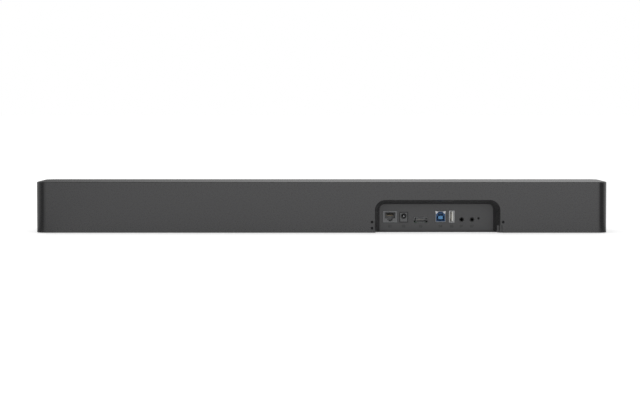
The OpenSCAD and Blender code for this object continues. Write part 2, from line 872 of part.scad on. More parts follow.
module line_jack(x) color("#29292a") difference() {
    union() {
        block(x, panel_y - panel_t, board_z, line_size);
        facing(x, port_y, line_z) cylinder(h = panel_t + over, r = line_nose_r);
    }
    facing(x, port_y + over, line_z) cylinder(h = line_bore_d + over, r = line_bore_r);
}

module line_in_jack() line_jack(line_in_x);

module line_out_jack() line_jack(line_out_x);

module reset_button() color("#d8d8d4") facing(reset_x, reset_tip_y, reset_z)
    cylinder(h = reset_stem + reset_cup - reset_travel - 2 * fit, r = reset_r);

module reset_switch() color("#2b2b2c") difference() {
    block(reset_x, switch_y, board_z, switch_size);
    facing(reset_x, switch_y + over, reset_z) cylinder(h = reset_cup + over, r = reset_r + fit);
}

// Boards

module main_board() color("#1d5a3c") difference() {
    union() {
        translate([board_out_x, board_y - board_d, board_z - board_t]) cube([board_w, board_d, board_t]);
        translate([sink_x - chip_w / 2, sink_y - chip_d / 2, board_z]) cube([chip_w, chip_d, chip_h]);
        for (i = [1:memory_n])
            translate([sink_x + sink_w / 2 + (i - memory_share) * memory_pitch,
                sink_y - memory_d / 2, board_z])
                cube([memory_share * memory_pitch, memory_d, memory_h]);
        block(-sensor_w / 2 + ribbon_w / 2, socket_y + socket_d, board_z,
            [ribbon_w + 2 * socket_rim, socket_h, socket_d]);
    }
    for (p = board_spots)
        translate([p[0], p[1], board_z - board_t - over])
            cylinder(h = board_t + 2 * over, r = board_screw[0] + screw_slack);
}

module heat_sink() color("#9a9b9d")
    translate([sink_x - sink_w / 2, sink_y - sink_d / 2, board_z + chip_h]) {
    cube([sink_w, sink_d, sink_base]);
    n = floor((sink_w - fin_t) / fin_pitch);
    for (i = [0:n])
        translate([i * (sink_w - fin_t) / n, 0, 0]) cube([fin_t, sink_d, sink_h]);
}

module board_screws() color("#8d8d8f") {
    for (p = board_spots)
        translate([p[0], p[1], board_z]) screw(board_screw);
    ear_places() screw(board_screw);
}

// Between two of the roof's ribs, counted from the middle of the bar
antenna_rib = 2.5;
antenna_w = 40;
antenna_d = 10;
antenna_t = 0.6;
antenna_gap = 4;

module antenna() color("#1d5a3c")
    translate([antenna_rib * rib_pitch - antenna_w / 2, boss_front_y + boss_r + antenna_gap,
        roof_z - antenna_t])
        cube([antenna_w, antenna_d, antenna_t]);

// Front

module front_frame() color("#2b2b2c") {
    back = split_y + tongue;
    rim_y = grille_y + grille_t;
    low = floor_z + seam;
    hatch_low = rail_low_z - rail_h - hatch_gap;
    hatch_top = rail_top_z + rail_h + hatch_gap;
    difference() {
        translate([0, 0, low]) linear_extrude(grille_h)
            front_plan(frame_half, rim_y, back, frame_r);
        translate([0, 0, low + rim_t]) linear_extrude(grille_h - 2 * rim_t)
            front_plan(frame_half - rim_t, frame_back_y, back + over, frame_r - rim_t);
        translate([-frame_half + frame_r, rim_y - over, low + rim_t])
            cube([2 * (frame_half - frame_r), grille_stand + over, grille_h - 2 * rim_t]);
        translate([-bezel_w / 2 - seam, rim_y - over, low - over])
            cube([bezel_w + 2 * seam, grille_stand + over, grille_h + 2 * over]);
        translate([-hatch_half, frame_y - over, hatch_low])
            cube([2 * hatch_half, frame_t + 2 * over, hatch_top - hatch_low]);
        for (s = [-1, 1])
            facing(s * spk_x, frame_back_y + over, mid_z) cylinder(h = frame_t + 2 * over, r = spk_open);
        for (s = [-1, 1], i = [0:mic_n - 1])
            facing(s * mic_x + (i - (mic_n - 1) / 2) * mic_w / mic_n, frame_back_y + over, mic_z)
                cylinder(h = frame_t + 2 * over, r = mic_hole_r);
        translate([-pipe_w / 2 - seam, frame_y - over, pipe_z - pipe_h / 2 - seam])
            cube([pipe_w + 2 * seam, frame_t + 2 * over, pipe_h + 2 * seam]);
        front_screw_places() pilot(front_screw);
    }
}

// Places of the screws that hold the speakers, the camera bracket and the bezel to the front frame
module front_screw_places() {
    for (s = [-1, 1], sx = [-1, 1], sz = [-1, 1])
        translate([s * spk_x + sx * spk_hole, spk_y + flange_t, mid_z + sz * spk_hole])
            rotate([-90, 0, 0]) children();
    for (sx = [-1, 1], sz = [-1, 1])
        translate([sx * bracket_hole_x, spk_y + flange_t, lens_z + sz * bracket_screw_z])
            rotate([-90, 0, 0]) children();
    bezel_screw_places() children();
}

module bezel_screw_places() {
    for (sx = [-1, 1], sz = [-1, 1])
        translate([sx * (bezel_w / 2 - bezel_screw_in), frame_back_y,
            lens_z + sz * bezel_screw_z - lens_lift])
            rotate([-90, 0, 0]) children();
}

module front_screws() color("#8d8d8f") front_screw_places() screw(front_screw);

// The right-hand grille, seen from behind: its flat sheet with upright slots, and its bent end
module grille() {
    x0 = bezel_w / 2 + seam;
    x1 = body_w / 2 - corner_r;
    n = floor((x1 - x0 - slot_pitch) / slot_pitch);
    slot_len = grille_h - 4 * rim_t;
    upright(grille_y + grille_t, grille_t) difference() {
        translate([x0, floor_z + seam]) square([x1 - x0, grille_h]);
        for (i = [0:n - 1])
            translate([(x0 + x1) / 2 + (i - (n - 1) / 2) * slot_pitch, mid_z]) {
                square([slot_w, slot_len - slot_w], center = true);
                for (s = [-1, 1])
                    translate([0, s * (slot_len - slot_w) / 2]) circle(slot_w / 2);
            }
    }
    translate([0, 0, floor_z + seam]) linear_extrude(grille_h) intersection() {
        difference() {
            front_plan(body_w / 2 - lip_set, grille_y, split_y - seam, corner_r - lip_set);
            front_plan(body_w / 2 - lip_set - grille_t, grille_y + grille_t, split_y,
                corner_r - lip_set - grille_t);
        }
        translate([x1, grille_y]) square([corner_r, body_d]);
    }
}

module left_grille() color("#2f2f31") grille();

module right_grille() color("#2f2f31") mirror([1, 0, 0]) grille();

module camera_bezel() color("#161617") {
    low = floor_z + seam;
    difference() {
        translate([-bezel_w / 2, grille_y, low]) cube([bezel_w, bezel_t, grille_h]);
        facing(0, grille_y + window_t, lens_z) cylinder(h = window_t + over, r = window_r);
        facing(0, frame_y + over, lens_z) cylinder(h = bezel_t + 2 * over, r = window_r - window_lip);
        knob_mid = (2 * knob_x + shutter_travel) / 2;
        knob_run = shutter_travel + knob_size[0] + 2 * knob_slack;
        stem_run = shutter_travel + stem_size[0] + 2 * knob_slack;
        translate([knob_mid - knob_run / 2, grille_y - over, knob_z - knob_size[1] / 2 - knob_slack])
            cube([knob_run, pocket_d + over, knob_size[1] + 2 * knob_slack]);
        translate([knob_mid - stem_run / 2, grille_y - over, knob_z - stem_size[1] / 2 - knob_slack])
            cube([stem_run, bezel_t + 2 * over, stem_size[1] + 2 * knob_slack]);
        translate([-pipe_w / 2 - fit, grille_y - over, pipe_z - pipe_h / 2 - fit])
            cube([pipe_w + 2 * fit, bezel_t + 2 * over, pipe_h + 2 * fit]);
        bezel_screw_places() pilot(front_screw);
    }
    for (top = [0, 1]) {
        z = top ? rail_top_z : rail_low_z - rail_h;
        lip_z = top ? z - rail_bite : z;
        translate([rail_in_x, frame_y, z]) cube([rail_out_x - rail_in_x, rail_back - frame_y, rail_h]);
        translate([rail_in_x, rail_back, lip_z])
            cube([rail_out_x - rail_in_x, rail_lip, rail_h + rail_bite]);
    }
}

module camera_window() color("#0c0c10", 0.5)
    facing(0, grille_y + window_t, lens_z) cylinder(h = window_t, r = window_r - fit);

module light_pipe() color("#e8e8ea") {
    translate([-pipe_w / 2, grille_y, pipe_z - pipe_h / 2]) cube([pipe_w, pipe_len, pipe_h]);
}

module status_board() color("#1d5a3c") {
    y = grille_y + pipe_len;
    translate([-status_size[0] / 2, y, pipe_z - status_size[1] / 2])
        cube([status_size[0], board_t, status_size[1]]);
}

// Shutter, drawn open. Its cover waits beside the lens, and its arm runs under the lens to the knob.
module shutter_blade() color("#242425") translate([-shutter_travel, 0, 0]) {
    translate([-cover_half, blade_y, lens_z - cover_down])
        cube([2 * cover_half, blade_t, cover_up + cover_down]);
    translate([cover_half - over, blade_y, lens_z - cover_down])
        cube([knob_x + shutter_travel + knob_size[0] / 2 - cover_half + over, blade_t, arm_h]);
}

module shutter_knob() color("#56565a") translate([knob_x, 0, knob_z]) {
    deck = grille_y + pocket_d - knob_slack;
    translate([-knob_size[0] / 2, deck - knob_size[2], -knob_size[1] / 2])
        cube([knob_size[0], knob_size[2], knob_size[1]]);
    translate([-stem_size[0] / 2, deck, -stem_size[1] / 2])
        cube([stem_size[0], blade_y - deck, stem_size[1]]);
}

// Camera

module lens_barrel() color("#1b1b1c") facing(0, barrel_end_y, lens_z) rotate_extrude() {
    step = barrel_len - thread_len;
    polygon([
        [barrel_bore_r, 0], [thread_r, 0], [thread_r, thread_len], [barrel_mid_r, thread_len],
        [barrel_mid_r, step - barrel_flare], [barrel_r, step - barrel_flare], [barrel_r, barrel_len],
        [barrel_r - barrel_lip, barrel_len], [lens_r, barrel_len - barrel_rim],
        [lens_r, barrel_len - lens_deep], [barrel_bore_r, barrel_len - lens_deep]
    ]);
}

module front_lens() color("#20304a", 0.6) facing(0, barrel_y, lens_z) rotate_extrude() {
    steps = 8;
    r = lens_r - fit;
    rise = lens_edge - lens_deep;
    polygon([
        [0, -lens_deep], [r, -lens_deep], [r, rise],
        for (i = [1:steps]) [r * cos(90 * i / steps), rise + lens_dome * sin(90 * i / steps)]
    ]);
}

module lens_holder() color("#1f1f20") difference() {
    translate([-holder_w / 2, sensor_y - holder_len, lens_z - holder_w / 2])
        cube([holder_w, holder_len, holder_w]);
    facing(0, sensor_y + over, lens_z) cylinder(h = holder_len + 2 * over, r = thread_r + fit);
    translate([-holder_w / 2 + holder_wall, sensor_y - holder_pocket, lens_z - holder_w / 2 + holder_wall])
        cube([holder_w - 2 * holder_wall, holder_pocket + over, holder_w - 2 * holder_wall]);
}

module sensor_board() color("#1d5a3c") {
    translate([-sensor_w / 2, sensor_y, lens_z - sensor_w / 2]) cube([sensor_w, board_t, sensor_w]);
    translate([-sensor_chip[0] / 2, sensor_y - sensor_chip[2], lens_z - sensor_chip[1] / 2])
        cube([sensor_chip[0], sensor_chip[2], sensor_chip[1]]);
}

module camera_bracket() color("#a7a8aa") {
    low = lens_z - bracket_h / 2;
    translate([-bracket_half, bracket_y, low]) cube([2 * bracket_half, bracket_t, bracket_h]);
    for (s = [0, 1]) mirror([s, 0, 0]) {
        translate([bracket_half - bracket_t, frame_back_y, low])
            cube([bracket_t, bracket_y - frame_back_y + bracket_t, bracket_h]);
        difference() {
            translate([bracket_half - bracket_t, frame_back_y, low])
                cube([bracket_foot, flange_t + gasket_t, bracket_h]);
            for (sz = [-1, 1])
                facing(bracket_hole_x, frame_back_y + flange_t + gasket_t + over,
                    lens_z + sz * bracket_screw_z)
                    cylinder(h = flange_t + gasket_t + 2 * over, r = front_screw[0] + screw_slack / 2);
        }
    }
    for (sx = [-1, 1], sz = [-1, 1])
        facing(sx * (sensor_w / 2 - post_inset), bracket_y, lens_z + sz * (bracket_h / 2 - post_inset))
            cylinder(h = post_len, r = post_r);
}

// The flat cable from the sensor board down to its socket on the main board
module camera_ribbon() color("#b06a2c") {
    steps = 6;
    y0 = sensor_y + board_t;
    z0 = ribbon_z + ribbon_r;
    y1 = y0 + ribbon_run;
    y2 = y1 + 2 * ribbon_r;
    z2 = ribbon_low_z + ribbon_r;
    translate([-sensor_w / 2, 0, 0]) rotate([90, 0, 90]) linear_extrude(ribbon_w) polygon([
        [y0, z0],
        for (i = [0:steps]) [y1 + ribbon_r * sin(90 * i / steps),
            z0 - ribbon_r + ribbon_r * cos(90 * i / steps)],
        for (i = [0:steps]) [y2 - ribbon_r * cos(90 * i / steps), z2 - ribbon_r * sin(90 * i / steps)],
        [socket_y, ribbon_low_z],
        [socket_y, ribbon_low_z - ribbon_t],
        for (i = [steps:-1:0]) [
            y2 - (ribbon_r + ribbon_t) * cos(90 * i / steps), z2 - (ribbon_r + ribbon_t)
                * sin(90 * i / steps)],
        for (i = [steps:-1:0]) [
            y1 + (ribbon_r - ribbon_t) * sin(90 * i / steps),
            z0 - ribbon_r + (ribbon_r - ribbon_t) * cos(90 * i / steps)],
        [y0, z0 - ribbon_t]
    ]);
}

// Speakers

module speaker_box(s) color("#262627") {
    y0 = frame_back_y;
    difference() {
        translate([s * spk_x, y0, mid_z]) rotate([-90, 0, 0]) linear_extrude(box_d)
            rounded_rect(box_w, box_h, box_r);
        translate([s * spk_x, y0 - over, mid_z]) rotate([-90, 0, 0]) linear_extrude(box_d - box_t + over)
            rounded_rect(box_w - 2 * box_t, box_h - 2 * box_t, box_r - box_t);
    }
}

module left_speaker_box() speaker_box(1);

module right_speaker_box() speaker_box(-1);

module flange_outline() difference() {
    rounded_rect(spk_flange, spk_flange, flange_r);
    circle(spk_open);
    for (sx = [-1, 1], sz = [-1, 1])
        translate([sx * spk_hole, sz * spk_hole]) circle(front_screw[0] + screw_slack / 2);
}

module speaker_gasket(s) color("#3a3a3a")
    translate([s * spk_x, spk_y, mid_z]) rotate([90, 0, 0]) linear_extrude(gasket_t) flange_outline();

module left_speaker_gasket() speaker_gasket(1);

module right_speaker_gasket() speaker_gasket(-1);

// The basket: its flange, a conical cage with four windows, and a ring that holds the magnet
module speaker_basket(s) color("#48484a") {
    translate([s * spk_x, spk_y + flange_t, mid_z]) rotate([90, 0, 0]) linear_extrude(flange_t)
        flange_outline();
    translate([s * spk_x, spk_y + flange_t, mid_z]) rotate([-90, 0, 0]) difference() {
        rotate_extrude() polygon([
            [spk_open, 0], [spk_open + basket_t, 0], [basket_low_r + basket_t, basket_len],
            [plate_r + plate_lip, basket_len], [plate_r + plate_lip, basket_len - basket_t],
            [basket_low_r, basket_len - basket_t]
        ]);
        for (a = [0, 90]) rotate([0, 0, a])
            translate([-spk_flange, -magnet_r / 2, basket_band])
                cube([2 * spk_flange, magnet_r, basket_len - 2 * basket_band]);
    }
}

module left_speaker_basket() speaker_basket(1);

module right_speaker_basket() speaker_basket(-1);

// The magnet with its steel plates and its pole, behind the basket
module speaker_magnet(s) color("#5b5b5e")
    translate([s * spk_x, spk_y + flange_t + basket_len, mid_z]) rotate([-90, 0, 0]) rotate_extrude() {
        deep = top_plate + magnet_len;
        polygon([
            [0, -magnet_step], [pole_r, -magnet_step], [pole_r, deep], [plate_r + plate_lip, deep],
            [plate_r + plate_lip, top_plate], [plate_r, top_plate], [plate_r, 0],
            [magnet_r - magnet_step, 0], [magnet_r - magnet_step, top_plate], [magnet_r, top_plate],
            [magnet_r, deep], [magnet_r - magnet_step, deep],
            [magnet_r - magnet_step, deep + back_plate], [0, deep + back_plate]
        ]);
    }

module left_speaker_magnet() speaker_magnet(1);

module right_speaker_magnet() speaker_magnet(-1);

// The cone with its dust cap
module speaker_cone(s) color("#1c1c1d")
    translate([s * spk_x, spk_y + flange_t, mid_z]) rotate([-90, 0, 0]) rotate_extrude() {
        steps = 6;
        polygon([
            [cone_r, 0], [cone_r, cone_t], [coil_r + coil_t, cone_deep], [coil_r, cone_deep],
            [coil_r, cone_deep - cone_t],
            for (i = [1:steps]) [coil_r * cos(90 * i / steps),
                cone_deep - cone_t - cap_h * sin(90 * i / steps)],
            for (i = [0:steps - 1])
                [(coil_r + cone_t) * sin(90 * i / steps),
                    cone_deep - 2 * cone_t - cap_h * cos(90 * i / steps)],
            [cone_r - cone_t, 0]
        ]);
    }

module left_speaker_cone() speaker_cone(1);

module right_speaker_cone() speaker_cone(-1);

module voice_coil(s) color("#b5722e")
    translate([s * spk_x, spk_y + flange_t + cone_deep, mid_z]) rotate([-90, 0, 0]) difference() {
        cylinder(h = coil_len, r = coil_r + coil_t);
        translate([0, 0, -over]) cylinder(h = coil_len + 2 * over, r = coil_r);
    }

module left_voice_coil() voice_coil(1);

module right_voice_coil() voice_coil(-1);

// The rubber roll between the cone's edge and the flange
module speaker_surround(s) color("#202021")
    translate([s * spk_x, spk_y + flange_t, mid_z]) rotate([90, 0, 0]) rotate_extrude() {
        steps = 8;
        mid = cone_r + cone_gap + roll_t + roll_r;
        polygon([
            for (i = [0:steps]) [mid - (roll_r + roll_t) * cos(180 * i / steps), (roll_r + roll_t)
                * sin(180 * i / steps)],
            for (i = [0:steps]) [mid + roll_r * cos(180 * i / steps), roll_r * sin(180 * i / steps)]
        ]);
    }

module left_speaker_surround() speaker_surround(1);

module right_speaker_surround() speaker_surround(-1);

module mic_board(s) color("#1d5a3c") difference() {
    union() {
        translate([s * mic_x - mic_w / 2, frame_back_y, mic_z - mic_h / 2]) cube([mic_w, board_t, mic_h]);
        for (i = [0:mic_n - 1])
            translate([s * mic_x + (i - (mic_n - 1) / 2) * mic_w / mic_n - mic_chip[0] / 2,
                frame_back_y + board_t,
                mic_z - mic_chip[1] / 2])
                cube([mic_chip[0], mic_chip[2], mic_chip[1]]);
    }
    for (i = [0:mic_n - 1])
        facing(s * mic_x + (i - (mic_n - 1) / 2) * mic_w / mic_n, frame_back_y + board_t, mic_z)
            cylinder(h = board_t + over, r = mic_hole_r);
}

module left_mic_board() mic_board(1);

module right_mic_board() mic_board(-1);

// Feet, bushes and the cover's screws

module foot(s) color("#1a1a1b") translate([s * foot_x, 0, 0]) linear_extrude(base_z + foot_sink)
    rounded_rect(foot_w, foot_len, foot_round);

module left_foot() foot(1);

module right_foot() foot(-1);

module tripod_insert() color("#b8974a") translate([0, tripod_y, base_z]) difference() {
    cylinder(h = tripod_len, r = tripod_r - fit);
    translate([0, 0, -over]) cylinder(h = tripod_len + over, r = tripod_bore_r);
}

module bracket_inserts() color("#b8974a") bracket_places() difference() {
    cylinder(h = bracket_len, r = bracket_r - fit);
    translate([0, 0, -over]) cylinder(h = bracket_len + over, r = bracket_bore_r);
}

module cover_screws() color("#1f1f20") for (p = boss_spots)
    translate([p[0], p[1], base_z + case_screw[2]]) rotate([180, 0, 0]) screw(case_screw);

module rear_screws() color("#1f1f20") rear_screw_places() screw(rear_screw);

rear_housing();
bottom_cover();
port_panel();
front_frame();
left_grille();
right_grille();
camera_bezel();
camera_window();
light_pipe();
left_foot();
right_foot();
tripod_insert();
bracket_inserts();
cover_screws();
rear_screws();
board_screws();
front_screws();
lens_barrel();
front_lens();
lens_holder();
sensor_board();
camera_bracket();
camera_ribbon();
shutter_blade();
shutter_knob();
status_board();
left_speaker_box();
right_speaker_box();
left_speaker_gasket();
right_speaker_gasket();
left_speaker_basket();
right_speaker_basket();
left_speaker_magnet();
right_speaker_magnet();
left_speaker_surround();
right_speaker_surround();
left_speaker_cone();
right_speaker_cone();
left_voice_coil();
right_voice_coil();
left_mic_board();
right_mic_board();
main_board();
heat_sink();
antenna();
network_shell();
network_insert();
power_jack();
power_pin();
video_shell();
video_tongue();
usb_b_shell();
usb_b_insert();
usb_a_shell();
usb_a_tongue();
line_in_jack();
line_out_jack();
reset_button();
reset_switch();
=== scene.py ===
import math

import bmesh
import bpy
from mathutils import Matrix, Vector


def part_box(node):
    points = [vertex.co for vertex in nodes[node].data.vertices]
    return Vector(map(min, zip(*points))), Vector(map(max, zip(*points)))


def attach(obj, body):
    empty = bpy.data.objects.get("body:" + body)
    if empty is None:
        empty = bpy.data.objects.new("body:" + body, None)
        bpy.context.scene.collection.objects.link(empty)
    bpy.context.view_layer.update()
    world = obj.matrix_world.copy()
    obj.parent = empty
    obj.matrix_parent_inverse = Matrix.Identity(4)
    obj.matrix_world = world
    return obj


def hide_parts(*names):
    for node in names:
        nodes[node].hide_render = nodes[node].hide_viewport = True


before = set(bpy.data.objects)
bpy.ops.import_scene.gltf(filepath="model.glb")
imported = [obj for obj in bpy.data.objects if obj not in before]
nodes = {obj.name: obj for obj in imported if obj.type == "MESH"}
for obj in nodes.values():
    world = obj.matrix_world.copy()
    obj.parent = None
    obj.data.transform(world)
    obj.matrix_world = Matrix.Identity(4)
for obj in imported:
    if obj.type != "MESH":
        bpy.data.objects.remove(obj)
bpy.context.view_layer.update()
print("frame loaded:", len(nodes), "nodes")


# The camera stands straight behind the bar and a little above it
photoView = {
    "imageWidth": 640,           # pixels
    "sensorWidth": 36,           # millimetres
    "clips": (0.05, 60),
    "focalPixels": 2053,
    "distance": 2.330,           # from the rear face
    "height": 0.1433,            # above the table
    "horizonAbove": 92.8,        # pixels from the picture's middle up to the horizon
    "centreRight": 1.65,         # pixels from the picture's middle to the bar's middle
}


def makeCamera(view):
    data = bpy.data.cameras.new("camera")
    data.sensor_width = view["sensorWidth"]
    data.lens = data.sensor_width * view["focalPixels"] / view["imageWidth"]
    data.clip_start, data.clip_end = view["clips"]
    camera = bpy.data.objects.new("camera", data)
    bpy.context.scene.collection.objects.link(camera)
    camera.location = (0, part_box("rear_housing")[1].y + view["distance"], view["height"])
    pitch = math.atan(view["horizonAbove"] / view["focalPixels"])
    yaw = math.atan(view["centreRight"] / view["focalPixels"])
    camera.rotation_euler = (math.pi / 2 - pitch, 0, math.pi + yaw)
    bpy.context.scene.camera = camera


makeCamera(photoView)


# Helpers for the materials
mmPerMetre = 1000
white = (1, 1, 1, 1)


# The sRGB curve, from a hex colour to linear values
def toLinear(hexColour):
    parts = [int(hexColour[i:i + 2], 16) / 255 for i in (1, 3, 5)]
    linear = [p / 12.92 if p <= 0.04045 else ((p + 0.055) / 1.055) ** 2.4 for p in parts]
    return (*linear, 1.0)


def addNode(tree, kind, links=None, **settings):
    made = tree.nodes.new(kind)
    for key, value in settings.items():
        setattr(made, key, value)
    for socket, value in (links or {}).items():
        if isinstance(value, bpy.types.NodeSocket):
            tree.links.new(value, made.inputs[socket])
        else:
            made.inputs[socket].default_value = value
    return made


def newMaterial(name):
    material = bpy.data.materials.new(name)
    material.use_nodes = True
    material.node_tree.nodes.clear()
    return material, material.node_tree


def dress(nodeName, material):
    for slot in nodes[nodeName].material_slots:
        slot.material = material


plasticGrain = {"grainDetail": 3.0, "grainRoughness": 0.6, "cloudDetail": 2.0,
                "spread": 0.06,              # of the roughness, to each side
                "depthShare": 0.2,           # of a grain's width
                "ior": 1.52}


# Plastic, rubber or powder coat with a fine texture: one even colour, broken by a grain that
# softens the light and catches a little of it at flat angles. The real grain is about
# 0.1 mm wide, and it is drawn coarser, at grainMm, so that it shows.
def mouldPlastic(name, look):
    material, tree = newMaterial(name)
    place = addNode(tree, "ShaderNodeTexCoord").outputs["Object"]
    grain = addNode(tree, "ShaderNodeTexNoise", {
        "Vector": place, "Scale": mmPerMetre / look["grainMm"],
        "Detail": plasticGrain["grainDetail"], "Roughness": plasticGrain["grainRoughness"]})
    cloud = addNode(tree, "ShaderNodeTexNoise", {
        "Vector": place, "Scale": mmPerMetre / look["cloudMm"],
        "Detail": plasticGrain["cloudDetail"]})
    low = Vector(toLinear(look["colour"])[:3]) * (1 - look["variation"])
    high = Vector(toLinear(look["colour"])[:3]) * (1 + look["variation"])
    tone = addNode(tree, "ShaderNodeMix", {
        "Factor": cloud.outputs["Fac"], "A": (*low, 1), "B": (*high, 1)}, data_type="RGBA")
    matt = addNode(tree, "ShaderNodeMapRange", {
        "Value": grain.outputs["Fac"], "To Min": look["roughness"] - plasticGrain["spread"],
        "To Max": look["roughness"] + plasticGrain["spread"]})
    bump = addNode(tree, "ShaderNodeBump", {
        "Height": grain.outputs["Fac"], "Strength": look["bump"],
        "Distance": look["grainMm"] / mmPerMetre * plasticGrain["depthShare"]})
    shader = addNode(tree, "ShaderNodeBsdfPrincipled", {
        "Base Color": tone.outputs["Result"], "Roughness": matt.outputs["Result"],
        "Normal": bump.outputs["Normal"], "IOR": plasticGrain["ior"],
        "Specular IOR Level": look["specular"]})
    addNode(tree, "ShaderNodeOutputMaterial", {"Surface": shader.outputs["BSDF"]})
    return material


metalGrain = {"stretch": (1, 1, 14), "detail": 3.0, "smoother": 0.05, "rougher": 0.08}


# Metal rolled to sheet, then stamped or turned and plated: its tone and gloss vary along a
# fine rolled grain, drawn coarser than the real one, at grainMm, so that it shows.
def plateMetal(name, look):
    material, tree = newMaterial(name)
    place = addNode(tree, "ShaderNodeTexCoord").outputs["Object"]
    rolled = addNode(tree, "ShaderNodeMapping", {"Vector": place, "Scale": metalGrain["stretch"]})
    grain = addNode(tree, "ShaderNodeTexNoise", {
        "Vector": rolled.outputs["Vector"], "Scale": mmPerMetre / look["grainMm"],
        "Detail": metalGrain["detail"]})
    tone = addNode(tree, "ShaderNodeMix", {
        "Factor": grain.outputs["Fac"], "A": toLinear(look["dark"]),
        "B": toLinear(look["light"])}, data_type="RGBA")
    matt = addNode(tree, "ShaderNodeMapRange", {
        "Value": grain.outputs["Fac"], "To Min": look["roughness"] - metalGrain["smoother"],
        "To Max": look["roughness"] + metalGrain["rougher"]})
    shader = addNode(tree, "ShaderNodeBsdfPrincipled", {
        "Base Color": tone.outputs["Result"], "Roughness": matt.outputs["Result"], "Metallic": 1.0})
    addNode(tree, "ShaderNodeOutputMaterial", {"Surface": shader.outputs["BSDF"]})
    return material


glassSmears = {"detail": 2.0, "rougher": 0.03}


# Glass or clear resin: a tint deep inside and a clean, hard gloss on its face, dulled a
# little by smears.
def castGlass(name, look):
    material, tree = newMaterial(name)
    place = addNode(tree, "ShaderNodeTexCoord").outputs["Object"]
    smear = addNode(tree, "ShaderNodeTexNoise", {
        "Vector": place, "Scale": mmPerMetre / look["smearMm"], "Detail": glassSmears["detail"]})
    matt = addNode(tree, "ShaderNodeMapRange", {
        "Value": smear.outputs["Fac"], "To Min": look["roughness"],
        "To Max": look["roughness"] + glassSmears["rougher"]})
    shader = addNode(tree, "ShaderNodeBsdfPrincipled", {
        "Base Color": toLinear(look["tint"]), "Roughness": matt.outputs["Result"],
        "IOR": look["ior"], "Transmission Weight": look["clear"], "Coat Weight": look["coat"]})
    addNode(tree, "ShaderNodeOutputMaterial", {"Surface": shader.outputs["BSDF"]})
    return material


# Circuit board: dark green solder resist, paler where copper lies under it.
def etchBoard(name, look):
    material, tree = newMaterial(name)
    place = addNode(tree, "ShaderNodeTexCoord").outputs["Object"]
    tracks = addNode(tree, "ShaderNodeTexVoronoi", {
        "Vector": place, "Scale": mmPerMetre / look["trackMm"]}, distance="MANHATTAN")
    step = addNode(tree, "ShaderNodeMapRange", {
        "Value": tracks.outputs["Distance"], "From Min": look["edge"][0],
        "From Max": look["edge"][1]})
    tone = addNode(tree, "ShaderNodeMix", {
        "Factor": step.outputs["Result"], "A": toLinear(look["copper"]),
        "B": toLinear(look["resist"])}, data_type="RGBA")
    shader = addNode(tree, "ShaderNodeBsdfPrincipled", {
        "Base Color": tone.outputs["Result"], "Roughness": look["roughness"], "IOR": look["ior"]})
    addNode(tree, "ShaderNodeOutputMaterial", {"Surface": shader.outputs["BSDF"]})
    return material


# Finishes of the CAD nodes
casingLook = {"colour": "#2d2d2e", "variation": 0.03, "grainMm": 0.8, "cloudMm": 60,
              "roughness": 0.28, "bump": 0.035, "specular": 0.5}
# The panel is drawn paler than the casing as painted light, to lift it against the shade of the bay
panelLook = {"colour": "#3a3a3b", "variation": 0.03, "grainMm": 0.6, "cloudMm": 40,
             "roughness": 0.4, "bump": 0.06, "specular": 0.5}
coverLook = {"colour": "#282829", "variation": 0.04, "grainMm": 0.9, "cloudMm": 60,
             "roughness": 0.64, "bump": 0.3, "specular": 0.3}
grilleLook = {"colour": "#2e2e30", "variation": 0.03, "grainMm": 0.4, "cloudMm": 50,
              "roughness": 0.5, "bump": 0.1, "specular": 0.4}
frameLook = {"colour": "#202021", "variation": 0.03, "grainMm": 0.8, "cloudMm": 50,
             "roughness": 0.7, "bump": 0.2, "specular": 0.3}
bezelLook = {"colour": "#0d0d0e", "variation": 0.02, "grainMm": 3, "cloudMm": 80,
             "roughness": 0.14, "bump": 0.01, "specular": 0.5}
blackLook = {"colour": "#1b1b1c", "variation": 0.04, "grainMm": 0.5, "cloudMm": 12,
             "roughness": 0.5, "bump": 0.1, "specular": 0.4}
networkBodyLook = {"colour": "#646566", "variation": 0.04, "grainMm": 0.5, "cloudMm": 6,
                   "roughness": 0.4, "bump": 0.08, "specular": 0.5}
powerBodyLook = {"colour": "#565758", "variation": 0.03, "grainMm": 0.5, "cloudMm": 6,
                 "roughness": 0.45, "bump": 0.08, "specular": 0.5}
videoTongueLook = {"colour": "#666768", "variation": 0.04, "grainMm": 0.5, "cloudMm": 6,
                   "roughness": 0.5, "bump": 0.08, "specular": 0.4}
# Two copies of one blue nylon for the USB-B port: a pale one paints a highlight at its mouth, a dark one
# paints shade inside it
blueLitLook = {"colour": "#5590c2", "variation": 0.04, "grainMm": 0.5, "cloudMm": 5,
                  "roughness": 0.4, "bump": 0.05, "specular": 0.5}
blueShadedLook = {"colour": "#164a78", "variation": 0.05, "grainMm": 0.5, "cloudMm": 6,
            "roughness": 0.42, "bump": 0.08, "specular": 0.5}
whiteLook = {"colour": "#dcdcd8", "variation": 0.03, "grainMm": 0.5, "cloudMm": 8,
             "roughness": 0.45, "bump": 0.08, "specular": 0.5}
rubberLook = {"colour": "#161616", "variation": 0.08, "grainMm": 0.5, "cloudMm": 20,
              "roughness": 0.82, "bump": 0.5, "specular": 0.3}
knobLook = {"colour": "#3c3c3e", "variation": 0.03, "grainMm": 0.3, "cloudMm": 8,
            "roughness": 0.5, "bump": 0.12, "specular": 0.45}
ribbonLook = {"colour": "#a9622a", "variation": 0.06, "grainMm": 1.0, "cloudMm": 6,
              "roughness": 0.35, "bump": 0.05, "specular": 0.5}
shellLook = {"dark": "#a6a7a9", "light": "#d0d1d3", "grainMm": 1.2, "roughness": 0.3}
networkShellLook = {"dark": "#656668", "light": "#868789", "grainMm": 1.2, "roughness": 0.35}
